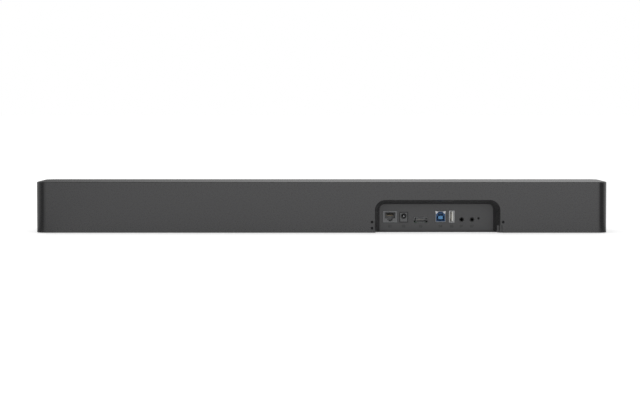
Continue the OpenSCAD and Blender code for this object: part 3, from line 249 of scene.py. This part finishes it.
# Two copies of one nickel for the USB-B port: a pale one paints a highlight on its upper corners, a dark
# one paints shade on its other sides and its shell
collarHighlightLook = {"dark": "#949597", "light": "#bcbdbf", "grainMm": 1.0, "roughness": 0.32}
collarShadeLook = {"dark": "#5c5d60", "light": "#77787b", "grainMm": 1.0, "roughness": 0.4}
videoShellLook = {"dark": "#747576", "light": "#8c8d8e", "grainMm": 1.2, "roughness": 0.5}
gunmetalLook = {"dark": "#3a3a3b", "light": "#4c4c4d", "grainMm": 1.2, "roughness": 0.42}
brassLook = {"dark": "#a9853a", "light": "#c9a759", "grainMm": 0.8, "roughness": 0.28}
copperLook = {"dark": "#9c5a32", "light": "#c07a4c", "grainMm": 0.4, "roughness": 0.35}
goldLook = {"dark": "#b08d45", "light": "#d9b767", "grainMm": 0.5, "roughness": 0.25}
blackScrewLook = {"dark": "#19191a", "light": "#262627", "grainMm": 0.6, "roughness": 0.4}
alloyLook = {"dark": "#8f9092", "light": "#b3b4b6", "grainMm": 1.5, "roughness": 0.4}
magnetLook = {"dark": "#5a5a5c", "light": "#78787a", "grainMm": 1.0, "roughness": 0.4}
windowLook = {"tint": "#c9cbd0", "smearMm": 14, "roughness": 0.01,
              "ior": 1.3,                    # low, because a thin pane hardly bends the view
              "clear": 1.0, "coat": 0.0}
lensLook = {"tint": "#4a4f9e", "smearMm": 8, "roughness": 0.02, "ior": 1.7,
            "clear": 0.55, "coat": 1.0}
pipeLook = {"tint": "#e9e9ec", "smearMm": 5, "roughness": 0.3, "ior": 1.49,
            "clear": 0.35, "coat": 0.0}
boardLook = {"copper": "#2c6b42", "resist": "#1c5232", "trackMm": 2.4, "edge": (0.3, 0.4),
             "roughness": 0.35, "ior": 1.55}

casingAbs = mouldPlastic("spark_textured_abs", casingLook)            # satin, with wide soft reflections
panelAbs = mouldPlastic("port_panel_abs", panelLook)                  # duller than the casing, and paler as painted light against the bay's shade
coverAbs = mouldPlastic("underside_abs", coverLook)                   # dull and dark, so it recedes
grillePaint = mouldPlastic("powder_coated_steel", grilleLook)         # even and fine, with little gloss
frameAbs = mouldPlastic("baffle_abs", frameLook)                      # dull, so it hides behind the slots
bezelAcrylic = mouldPlastic("piano_black_acrylic", bezelLook)         # nearly black, with a hard gloss
blackNylon = mouldPlastic("black_connector_nylon", blackLook)         # black, with a faint sheen
shadedBlueNylon = mouldPlastic("blue_nylon_painted_shade", blueShadedLook)            # deep blue, as painted shade inside the port
litBlueNylon = mouldPlastic("blue_nylon_painted_highlight", blueLitLook)  # pale blue, as a painted highlight at the port's mouth
networkNylon = mouldPlastic("grey_connector_nylon", networkBodyLook)  # mid grey inside the jack
powerNylon = mouldPlastic("grey_power_jack_nylon", powerBodyLook)     # grey, paler than the panel
videoNylon = mouldPlastic("video_tongue_nylon", videoTongueLook)      # a grey strip in a dark mouth
whiteNylon = mouldPlastic("white_connector_nylon", whiteLook)         # off-white, with a soft sheen
footRubber = mouldPlastic("moulded_silicone_rubber", rubberLook)      # black, with no shine
knobAbs = mouldPlastic("slider_abs", knobLook)                        # paler than the black bezel
ribbonFilm = mouldPlastic("polyimide_film", ribbonLook)               # amber, with a soft gloss
shellSteel = plateMetal("nickel_plated_steel", shellLook)             # bright, with blurred reflections
networkSteel = plateMetal("tinned_brass_shell", networkShellLook)     # greyer and duller than nickel
videoSteel = plateMetal("satin_nickel_shell", videoShellLook)         # a dull grey line
highlightNickel = plateMetal("nickel_painted_highlight", collarHighlightLook)          # pale, as a painted highlight on the port's upper corners
shadedNickel = plateMetal("nickel_painted_shade", collarShadeLook)            # darker, as painted shade on the rim and shell in the bay
gunmetal = plateMetal("dark_plated_steel", gunmetalLook)              # dark grey, with a soft shine
turnedBrass = plateMetal("turned_brass", brassLook)                   # yellow, with a clear shine
copperWire = plateMetal("enamelled_copper_wire", copperLook)          # warm orange
goldPlate = plateMetal("gold_plated_contact", goldLook)               # thin warm yellow lines
blackSteel = plateMetal("black_oxide_steel", blackScrewLook)          # black, with a trace of metal
rolledAlloy = plateMetal("rolled_aluminium", alloyLook)               # pale and softly streaked
magnetSteel = plateMetal("zinc_plated_magnet_steel", magnetLook)      # mid grey and even
windowGlass = castGlass("tinted_window_glass", windowLook)            # clear, seen only by its gloss
lensGlass = castGlass("coated_lens_glass", lensLook)                  # violet-blue, as a coated lens
pipeAcrylic = castGlass("diffusing_acrylic", pipeLook)                # milky and half clear
boardGreen = etchBoard("green_circuit_board", boardLook)              # dark green, paler over copper

finishes = {
    "rear_housing": casingAbs, "port_panel": panelAbs, "bottom_cover": coverAbs,
    "front_frame": frameAbs, "left_grille": grillePaint, "right_grille": grillePaint,
    "camera_bezel": bezelAcrylic, "camera_window": windowGlass, "front_lens": lensGlass,
    "light_pipe": pipeAcrylic, "left_foot": footRubber, "right_foot": footRubber,
    "tripod_insert": turnedBrass, "bracket_inserts": turnedBrass, "cover_screws": blackSteel,
    "rear_screws": blackSteel, "board_screws": shellSteel, "front_screws": shellSteel,
    "lens_barrel": blackNylon, "lens_holder": blackNylon, "sensor_board": boardGreen,
    "camera_bracket": rolledAlloy, "camera_ribbon": ribbonFilm, "shutter_blade": blackNylon,
    "shutter_knob": knobAbs, "status_board": boardGreen, "main_board": boardGreen,
    "left_mic_board": boardGreen, "right_mic_board": boardGreen, "antenna": boardGreen,
    "heat_sink": rolledAlloy, "network_shell": networkSteel, "network_insert": networkNylon,
    "power_jack": powerNylon, "power_pin": shellSteel, "video_shell": videoSteel,
    # The USB-B shell takes the nickel's painted-shade copy, and its insert takes the blue nylon's
    # painted-shade copy
    "video_tongue": videoNylon, "usb_b_shell": shadedNickel, "usb_b_insert": shadedBlueNylon,
    "usb_a_shell": shellSteel, "usb_a_tongue": whiteNylon, "line_in_jack": blackNylon,
    "line_out_jack": blackNylon, "reset_button": blackNylon, "reset_switch": blackNylon,
}
for side in ("left_", "right_"):
    finishes[side + "speaker_box"] = frameAbs
    finishes[side + "speaker_gasket"] = footRubber
    finishes[side + "speaker_surround"] = footRubber
    finishes[side + "speaker_basket"] = gunmetal
    finishes[side + "speaker_magnet"] = magnetSteel
    finishes[side + "speaker_cone"] = blackNylon
    finishes[side + "voice_coil"] = copperWire
for name in nodes:
    dress(name, finishes[name])
print("finishes on", len(finishes), "nodes")


# Pieces modelled here
def finishPiece(name, bm, material, body="casing", smooth=False):
    bmesh.ops.recalc_face_normals(bm, faces=bm.faces)
    mesh = bpy.data.meshes.new(name)
    bm.to_mesh(mesh)
    bm.free()
    mesh.materials.append(material)
    for face in mesh.polygons:
        face.use_smooth = smooth
    piece = bpy.data.objects.new(name, mesh)
    bpy.context.scene.collection.objects.link(piece)
    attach(piece, body)
    return piece


# In the mesh's own order, so that each run gives the same mesh
def edgesOf(verts):
    return list(dict.fromkeys(e for v in verts for e in v.link_edges))


def addBlock(bm, centre, size, edge, turn=0.0):
    place = Matrix.Translation(centre) @ Matrix.Rotation(turn, 4, "X") @ Matrix.Diagonal((*size, 1))
    made = bmesh.ops.create_cube(bm, size=1, matrix=place)["verts"]
    bmesh.ops.bevel(bm, geom=edgesOf(made), offset=edge, segments=2, profile=0.5,
                    affect="EDGES", material=-1)


networkContacts = {
    "count": 8, "pitch": 0.00102, "width": 0.00045, "thickness": 0.0003, "length": 0.0078,
    "edge": 0.00008,
    "slope": 16,                 # degrees, down towards the mouth
    "setBack": 0.0062,           # middle of the wires behind the mouth
    "fromTop": 0.0022,           # below the cavity's roof
    "roofBelowTop": 0.0011,      # the cavity's roof below the insert's top
}


def makeNetworkContacts(look):
    low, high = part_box("network_insert")
    middle = (low + high) / 2
    height = high.z - look["roofBelowTop"] - look["fromTop"]
    bm = bmesh.new()
    for i in range(look["count"]):
        across = (i - (look["count"] - 1) / 2) * look["pitch"]
        centre = (middle.x + across, high.y - look["setBack"], height)
        addBlock(bm, centre, (look["width"], look["length"], look["thickness"]), look["edge"],
                 math.radians(-look["slope"]))
    return finishPiece("network_contacts", bm, goldPlate)


makeNetworkContacts(networkContacts)

tongueContacts = {
    "usb_a_tongue": {"count": 4, "pitch": 0.0025, "width": 0.0011, "length": 0.0062,
                     "upright": True, "faceShare": 0.484},
    "video_tongue": {"count": 9, "pitch": 0.001, "width": 0.0005, "length": 0.0052,
                     "upright": False},
}
contactStrip = {"setBack": 0.0006, "thickness": 0.0002, "edge": 0.00005}


def makeTongueContacts(nodeName, look):
    low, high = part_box(nodeName)
    middle = (low + high) / 2
    bm = bmesh.new()
    for i in range(look["count"]):
        along = (i - (look["count"] - 1) / 2) * look["pitch"]
        y = high.y - contactStrip["setBack"] - look["length"] / 2
        if look["upright"]:
            face = low.x + (high.x - low.x) * look["faceShare"]
            centre = (face, y, middle.z + along)
            size = (contactStrip["thickness"], look["length"], look["width"])
        else:
            centre = (middle.x + along, y, low.z)
            size = (look["width"], look["length"], contactStrip["thickness"])
        addBlock(bm, centre, size, contactStrip["edge"])
    return finishPiece(nodeName + "_contacts", bm, goldPlate)


for name, look in tongueContacts.items():
    makeTongueContacts(name, look)

usbTongueCap = {"acrossShare": 0.47, "fromShare": 0.26, "toShare": 0.56, "setBack": 0.0003,
                "depth": 0.006, "edge": 0.0003}


# The nose of the USB-B port's tongue, in the pale blue that paints a highlight at the port's mouth
def makeUsbTongueCap(look):
    low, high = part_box("usb_b_insert")
    size = high - low
    bm = bmesh.new()
    centre = ((low.x + high.x) / 2, high.y - look["setBack"] - look["depth"] / 2,
              low.z + size.z * (look["fromShare"] + look["toShare"]) / 2)
    addBlock(bm, centre, (size.x * look["acrossShare"], look["depth"],
                          size.z * (look["toShare"] - look["fromShare"])), look["edge"])
    return finishPiece("usb_b_tongue_cap", bm, litBlueNylon)


makeUsbTongueCap(usbTongueCap)

portCollars = {
    # The USB-B collar is one nickel frame drawn as two pieces: its upper corner plates in the
    # painted-highlight copy, its other sides in the painted-shade copy
    "usb_b_collar": {"node": "usb_b_shell", "over": 0.0, "inside": 0.001, "cut": 0.0028,
                     "sides": (0, 1, 3, 5), "material": shadedNickel, "slot": "port_steel"},
    "usb_b_corner_plates": {"node": "usb_b_shell", "over": 0.0, "inside": 0.001, "cut": 0.0028,
                            "sides": (2, 4), "material": highlightNickel, "slot": "port_steel"},
    "power_collar": {"node": "power_jack", "over": 0.0002, "inside": 0.0007, "cut": 0.0004,
                     "sides": range(6), "material": blackNylon, "slot": "port_plastic"},
}
collarSheet = {"thickness": 0.00025, "outerCut": 0.0003, "edgeShare": 0.25}


# A thin frame round a port's mouth, with its inner upper corners cut off. Its sides count
# from the bottom one, against the clock as seen from the front.
def makeCollar(name, look):
    low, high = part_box(look["node"])
    half, tall = (high.x - low.x) / 2, high.z - low.z
    middle = (low.x + high.x) / 2
    rings = []
    for shrink, cut in ((-look["over"], collarSheet["outerCut"]), (look["inside"], look["cut"])):
        x, z0, z1 = half - shrink, shrink, tall - shrink
        rings.append([(-x, z0), (x, z0), (x, z1 - cut),
                      (x - cut, z1), (cut - x, z1), (-x, z1 - cut)])
    bm = bmesh.new()
    outer, inner = [[bm.verts.new((middle + x, high.y, low.z + z)) for x, z in ring]
                    for ring in rings]
    faces = []
    for i in look["sides"]:
        following = (i + 1) % len(outer)
        faces.append(bm.faces.new((outer[i], outer[following], inner[following], inner[i])))
    made = bmesh.ops.extrude_face_region(bm, geom=faces)["geom"]
    bmesh.ops.translate(bm, vec=(0, collarSheet["thickness"], 0),
                        verts=[g for g in made if isinstance(g, bmesh.types.BMVert)])
    edge = collarSheet["thickness"] * collarSheet["edgeShare"]
    bmesh.ops.bevel(bm, geom=bm.edges[:], offset=edge, segments=2, profile=0.5,
                    affect="EDGES", material=-1)
    return finishPiece(name, bm, look["material"])


for name, look in portCollars.items():
    makeCollar(name, look)

rimRings = {
    "pinhole_rim": {"centre": "reset_button", "face": "port_panel", "side": 1, "radius": 0.00105,
                    "wireRadius": 0.0003, "material": blackNylon, "slot": "port_plastic"},
    "lens_trim_ring": {"centre": "camera_window", "face": "camera_bezel", "side": -1,
                       "radius": 0.0132, "wireRadius": 0.0004, "material": gunmetal,
                       "slot": "port_steel"},
}
ringSteps = {"wire": 12, "turn": 64}


# A rounded ring half sunk into the face that it stands on
def makeRing(name, look):
    low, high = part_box(look["centre"])
    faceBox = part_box(look["face"])
    y = faceBox[1].y if look["side"] > 0 else faceBox[0].y
    bm = bmesh.new()
    place = Matrix.Translation(((low.x + high.x) / 2, y, (low.z + high.z) / 2))
    beside = place @ Matrix.Translation((look["radius"], 0, 0))
    wire = bmesh.ops.create_circle(bm, segments=ringSteps["wire"], radius=look["wireRadius"],
                                   matrix=beside)["verts"]
    bmesh.ops.spin(bm, geom=wire + edgesOf(wire), cent=place.translation, axis=(0, 1, 0),
                   angle=2 * math.pi, steps=ringSteps["turn"], use_merge=True)
    return finishPiece(name, bm, look["material"], smooth=True)


for name, look in rimRings.items():
    makeRing(name, look)
print("port contacts and collars made")

coverSill = {"behindFace": 0.001, "proud": 0.0045, "under": 0.00005, "top": 0.0012,
             "endGap": 0.0002, "edge": 0.0003}


# The thin sill of the bottom cover along the foot of the port panel, drawn in the panel's paler plastic,
# which is painted light, instead of the cover's darker one
def makeCoverSill(look):
    low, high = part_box("port_panel")
    bm = bmesh.new()
    centre = ((low.x + high.x) / 2, high.y + (look["proud"] - look["behindFace"]) / 2,
              (look["under"] + look["top"]) / 2)
    addBlock(bm, centre, (high.x - low.x - 2 * look["endGap"], look["proud"] + look["behindFace"],
                          look["top"] - look["under"]), look["edge"])
    return finishPiece("cover_sill", bm, panelAbs)


makeCoverSill(coverSill)

knobRidges = {"count": 5, "pitch": 0.0012, "width": 0.0005, "tallShare": 0.7, "proud": 0.00012,
              "sunk": 0.0003, "edge": 0.00005}


# The ridges that a fingertip catches on the shutter's knob
def makeKnobRidges(look):
    low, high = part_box("shutter_knob")
    middle = (low + high) / 2
    bm = bmesh.new()
    for i in range(look["count"]):
        across = (i - (look["count"] - 1) / 2) * look["pitch"]
        centre = (middle.x + across, low.y + (look["sunk"] - look["proud"]) / 2, middle.z)
        size = (look["width"], look["proud"] + look["sunk"], (high.z - low.z) * look["tallShare"])
        addBlock(bm, centre, size, look["edge"])
    return finishPiece("shutter_knob_ridges", bm, knobAbs, body="shutter")


makeKnobRidges(knobRidges)

screwHeads = {
    "rear_screws": {"axis": (0, 1, 0), "headRadius": 0.0015, "headHeight": 0.0008,
                    "shankRadius": 0.0009, "shankLength": 0.005,
                    "recessRadius": 0.00075, "recessDepth": 0.0005},
    "cover_screws": {"axis": (0, 0, -1), "headRadius": 0.0028, "headHeight": 0.0014,
                     "shankRadius": 0.0015, "shankLength": 0.009,
                     "recessRadius": 0.0014, "recessDepth": 0.0009},
}
screwForm = {"segments": 48, "roundShare": 0.3, "roundSegments": 3, "flatShare": 0.7,
             "lobes": 6, "lobeShare": 0.16, "shankSegments": 24, "tipShare": 0.6,
             "mergeGap": 1e-6}


# A pan head with a six-lobed recess, drawn along +Z with its underside at zero
def addScrew(bm, look, place):
    back = place.inverted()

    def centreOf(face):
        return back @ face.calc_center_median()

    middle = Matrix.Translation((0, 0, look["headHeight"] / 2))
    head = bmesh.ops.create_cone(bm, cap_ends=True, segments=screwForm["segments"],
                                 radius1=look["headRadius"], radius2=look["headRadius"],
                                 depth=look["headHeight"], matrix=place @ middle)["verts"]
    topFace = max((f for v in head for f in v.link_faces), key=lambda f: centreOf(f).z)
    edge = look["headHeight"] * screwForm["roundShare"]
    bmesh.ops.bevel(bm, geom=list(topFace.edges), offset=edge, profile=0.5,
                    segments=screwForm["roundSegments"], affect="EDGES", material=-1)
    caps = [f for f in bm.faces if len(f.verts) > screwForm["segments"] / 2
            and centreOf(f).xy.length <= look["headRadius"]]          # this screw's own flat ends
    topFace = max(caps, key=lambda f: centreOf(f).z)
    flatEdge = look["headRadius"] * screwForm["flatShare"] - look["recessRadius"]
    bmesh.ops.inset_region(bm, faces=[topFace], thickness=flatEdge)
    for v in topFace.verts:
        spot = back @ v.co
        angle = math.atan2(spot.y, spot.x)
        wave = screwForm["lobeShare"] * math.cos(screwForm["lobes"] * angle)
        reach = look["recessRadius"] * (1 + wave)
        v.co = place @ Vector((reach * math.cos(angle), reach * math.sin(angle), spot.z))
    sunk = bmesh.ops.extrude_discrete_faces(bm, faces=[topFace])["faces"][0]
    down = place.to_3x3() @ Vector((0, 0, -look["recessDepth"]))
    bmesh.ops.translate(bm, vec=down, verts=sunk.verts)
    bmesh.ops.create_cone(bm, cap_ends=True, segments=screwForm["shankSegments"],
                          radius1=look["shankRadius"] * screwForm["tipShare"],
                          radius2=look["shankRadius"], depth=look["shankLength"],
                          matrix=place @ Matrix.Translation((0, 0, -look["shankLength"] / 2)))


# Each screw of a node, with +Z out of its head and the origin under the head
def screwPlaces(nodeName, look):
    axis = Vector(look["axis"])
    turn = axis.to_track_quat("Z", "Y").to_matrix().to_4x4()
    copy = bmesh.new()
    copy.from_mesh(nodes[nodeName].data)
    bmesh.ops.remove_doubles(copy, verts=copy.verts, dist=screwForm["mergeGap"])
    done = set()
    places = []
    for start in copy.verts:
        if start in done:
            continue
        done.add(start)
        stack, group = [start], []
        while stack:
            v = stack.pop()
            group.append(v.co.copy())
            for e in v.link_edges:
                other = e.other_vert(v)
                if other not in done:
                    done.add(other)
                    stack.append(other)
        top = max(p.dot(axis) for p in group) - look["headHeight"]
        middle = sum(group, Vector()) / len(group)
        middle += axis * (top - middle.dot(axis))
        places.append(Matrix.Translation(middle) @ turn)
    copy.free()
    return places


def makeScrews(nodeName, look):
    bm = bmesh.new()
    for place in screwPlaces(nodeName, look):
        addScrew(bm, look, place)
    piece = finishPiece(nodeName.replace("_", "_lobed_"), bm, blackSteel)
    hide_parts(nodeName)
    return piece


for name, look in screwHeads.items():
    makeScrews(name, look)
print("screws made")

portNumbers = {
    "height": 0.003, "sizeShare": 1.4, "belowPort": 0.0046, "raise": 0.00003, "bold": 0.0001,
    "colour": "#151516", "bump": 0.05,
    "ports": ["network_shell", "power_jack", "video_shell", "usb_b_shell", "usb_a_shell",
              "line_in_jack", "line_out_jack"],
}


# Pad-printed ink: flat and a shade darker than the panel, so it reads only from near
def makePortNumbers(look):
    inkLook = {**panelLook, "colour": look["colour"], "bump": look["bump"]}
    ink = mouldPlastic("pad_printed_ink", inkLook)
    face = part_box("port_panel")[1].y
    turn = Matrix(((-1, 0, 0, 0), (0, 0, 1, 0), (0, 1, 0, 0), (0, 0, 0, 1)))   # reads from +Y
    bm = bmesh.new()
    for number, port in enumerate(look["ports"], 1):
        low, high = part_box(port)
        curve = bpy.data.curves.new("digit", "FONT")
        curve.body = "0" + str(number)
        curve.size = look["height"] * look["sizeShare"]
        curve.align_x = "CENTER"
        curve.align_y = "CENTER"
        curve.extrude = look["raise"]
        curve.offset = look["bold"]
        text = bpy.data.objects.new("digit", curve)
        bpy.context.scene.collection.objects.link(text)
        bpy.context.view_layer.update()
        mesh = bpy.data.meshes.new_from_object(text)
        place = Matrix.Translation(((low.x + high.x) / 2, face, low.z - look["belowPort"]))
        mesh.transform(place @ turn)
        bm.from_mesh(mesh)
        bpy.data.objects.remove(text)
        bpy.data.meshes.remove(mesh)
    return finishPiece("port_numbers", bm, ink)


makePortNumbers(portNumbers)
print("port numbers made")


# The studio: gloss sees its panels, and matt surfaces get its lamps and even world light
studio = {
    "floorSize": 60, "floorColour": "#f2f2f2", "floorGlow": 0.52,
    "worldLight": 0.6,                       # what matt surfaces get from all sides
    "room": 0.03,                            # what gloss sees where there is no panel
    # A panel: its strength falls to nothing as a direction's Y goes through turns, and its
    # share goes through shares as the direction's X goes through fades
    "backdrop": {"turns": (-0.2, 0.3), "strength": 0.57,
                 "fades": (-0.035, 0.14), "shares": (1.0, 0.27)},
    "backdropLow": {"turns": (-0.2, 0.3), "strength": 1.05,        # as the floor shows it
                    "fades": (-0.035, 0.14), "shares": (1.0, 0.6)},
    "softbox": {"turns": (0.92, 0.8), "strength": 1.52,
                "fades": (-0.01, 0.16), "shares": (1.0, 0.66)},
    "leftWall": {"turns": (0.1, 0.55), "strength": 0.52,
                 "fades": (0.3, 0.7), "shares": (0.0, 1.0)},
    "rightWall": {"turns": (-0.2, 0.3), "strength": 0.4,
                  "fades": (-0.7, -0.3), "shares": (1.0, 0.0)},
    "barHalf": 0.3,                          # the floor's gloss is worked out along this half
    "paintedShadowReach": (0.08, 0.55),                # and is dimmer close to the bar, where a shadow of the bar is painted
    "paintedShadowShare": 0.68,
    "lampsAim": (0, 0, 0.03),
    "lamps": [
        {"name": "camera_softbox", "place": (-0.2, 3.0, 0.6), "size": (3.4, 2.2), "watts": 36},
        {"name": "front_softbox", "place": (0.7, -1.9, 1.3), "size": (1.4, 1.4), "watts": 6},
    ],
}


# What gloss sees in a direction: a dark room with a white backdrop behind the bar, a softbox
# round the camera and a pale wall at each side
def studioGlow(tree, direction, room, panels):
    parts = addNode(tree, "ShaderNodeSeparateXYZ", {"Vector": direction})
    total = room
    for panel in panels:
        seen = addNode(tree, "ShaderNodeMapRange", {
            "Value": parts.outputs["Y"], "From Min": panel["turns"][0],
            "From Max": panel["turns"][1], "To Min": panel["strength"], "To Max": 0.0})
        fade = addNode(tree, "ShaderNodeMapRange", {
            "Value": parts.outputs["X"], "From Min": panel["fades"][0],
            "From Max": panel["fades"][1], "To Min": panel["shares"][0],
            "To Max": panel["shares"][1]})
        total = addNode(tree, "ShaderNodeMath", {
            0: seen.outputs["Result"], 1: fade.outputs["Result"], 2: total},
            operation="MULTIPLY_ADD").outputs["Value"]
    return total


# A sweep of white paper: pale and even, and it keeps a soft shadow
def makeFloor(look):
    material, tree = newMaterial("white_paper_sweep")
    seen = addNode(tree, "ShaderNodeLightPath")
    glow = addNode(tree, "ShaderNodeMath", {
        0: seen.outputs["Is Camera Ray"], 1: look["floorGlow"]}, operation="MULTIPLY")
    lit = addNode(tree, "ShaderNodeBsdfDiffuse", {"Color": toLinear(look["floorColour"])})
    lift = addNode(tree, "ShaderNodeEmission", {"Color": white, "Strength": glow.outputs["Value"]})
    paper = addNode(tree, "ShaderNodeAddShader", {
        0: lit.outputs["BSDF"], 1: lift.outputs["Emission"]})
    spot = addNode(tree, "ShaderNodeSeparateXYZ", {
        "Vector": addNode(tree, "ShaderNodeTexCoord").outputs["Object"]})
    near = addNode(tree, "ShaderNodeClamp", {
        "Value": spot.outputs["X"], "Min": -look["barHalf"], "Max": look["barHalf"]})
    aside = addNode(tree, "ShaderNodeMath", {
        0: spot.outputs["X"], 1: near.outputs["Result"]}, operation="SUBTRACT")
    flat = addNode(tree, "ShaderNodeCombineXYZ", {
        "X": aside.outputs["Value"], "Y": spot.outputs["Y"]})
    away = addNode(tree, "ShaderNodeVectorMath", {0: flat.outputs["Vector"]}, operation="NORMALIZE")
    # Painted shadow: the floor's reflected glow is darkened towards the bar, as if the bar shaded it
    dim = addNode(tree, "ShaderNodeMapRange", {
        "Value": spot.outputs["Y"], "From Min": look["paintedShadowReach"][0],
        "From Max": look["paintedShadowReach"][1], "To Min": look["paintedShadowShare"], "To Max": 1.0})
    glossy = studioGlow(tree, away.outputs["Vector"], look["room"],
                        (look["backdropLow"], look["softbox"], look["leftWall"], look["rightWall"]))
    dimmed = addNode(tree, "ShaderNodeMath", {
        0: glossy, 1: dim.outputs["Result"]}, operation="MULTIPLY")
    mirrored = addNode(tree, "ShaderNodeEmission", {
        "Color": white, "Strength": dimmed.outputs["Value"]})
    shown = addNode(tree, "ShaderNodeMixShader", {
        "Fac": seen.outputs["Is Glossy Ray"], 1: paper.outputs["Shader"],
        2: mirrored.outputs["Emission"]})
    addNode(tree, "ShaderNodeOutputMaterial", {"Surface": shown.outputs["Shader"]})
    bm = bmesh.new()
    bmesh.ops.create_grid(bm, x_segments=1, y_segments=1, size=look["floorSize"] / 2)
    mesh = bpy.data.meshes.new("floor")
    bm.to_mesh(mesh)
    bm.free()
    mesh.materials.append(material)
    floor = bpy.data.objects.new("floor", mesh)
    bpy.context.scene.collection.objects.link(floor)


# The camera sees plain white, straight on and through glass
def makeWorld(look):
    world = bpy.data.worlds.new("studio")
    bpy.context.scene.world = world
    world.use_nodes = True
    tree = world.node_tree
    tree.nodes.clear()
    seen = addNode(tree, "ShaderNodeLightPath")
    direction = addNode(tree, "ShaderNodeTexCoord").outputs["Generated"]
    glossy = studioGlow(tree, direction, look["room"],
                        (look["backdrop"], look["softbox"], look["leftWall"], look["rightWall"]))
    gloss = addNode(tree, "ShaderNodeMix", {
        "Factor": seen.outputs["Is Glossy Ray"], "A": look["worldLight"], "B": glossy})
    straight = addNode(tree, "ShaderNodeMath", {
        0: seen.outputs["Is Camera Ray"], 1: seen.outputs["Is Transmission Ray"]},
        operation="MAXIMUM")
    strength = addNode(tree, "ShaderNodeMix", {
        "Factor": straight.outputs["Value"], "A": gloss.outputs["Result"], "B": 1.0})
    sky = addNode(tree, "ShaderNodeBackground", {
        "Color": white, "Strength": strength.outputs["Result"]})
    addNode(tree, "ShaderNodeOutputWorld", {"Surface": sky.outputs["Background"]})


def makeLamps(look):
    for lamp in look["lamps"]:
        data = bpy.data.lights.new(lamp["name"], "AREA")
        data.shape = "RECTANGLE"
        data.size, data.size_y = lamp["size"]
        data.energy = lamp["watts"]
        light = bpy.data.objects.new(lamp["name"], data)
        bpy.context.scene.collection.objects.link(light)
        light.visible_camera = False
        light.visible_glossy = False                      # gloss sees studioGlow instead
        light.location = lamp["place"]
        ahead = Vector(look["lampsAim"]) - Vector(lamp["place"])
        light.rotation_euler = ahead.to_track_quat("-Z", "Y").to_euler()


makeFloor(studio)
makeWorld(studio)
makeLamps(studio)
bpy.context.scene.view_settings.view_transform = "Standard"
print("studio made")
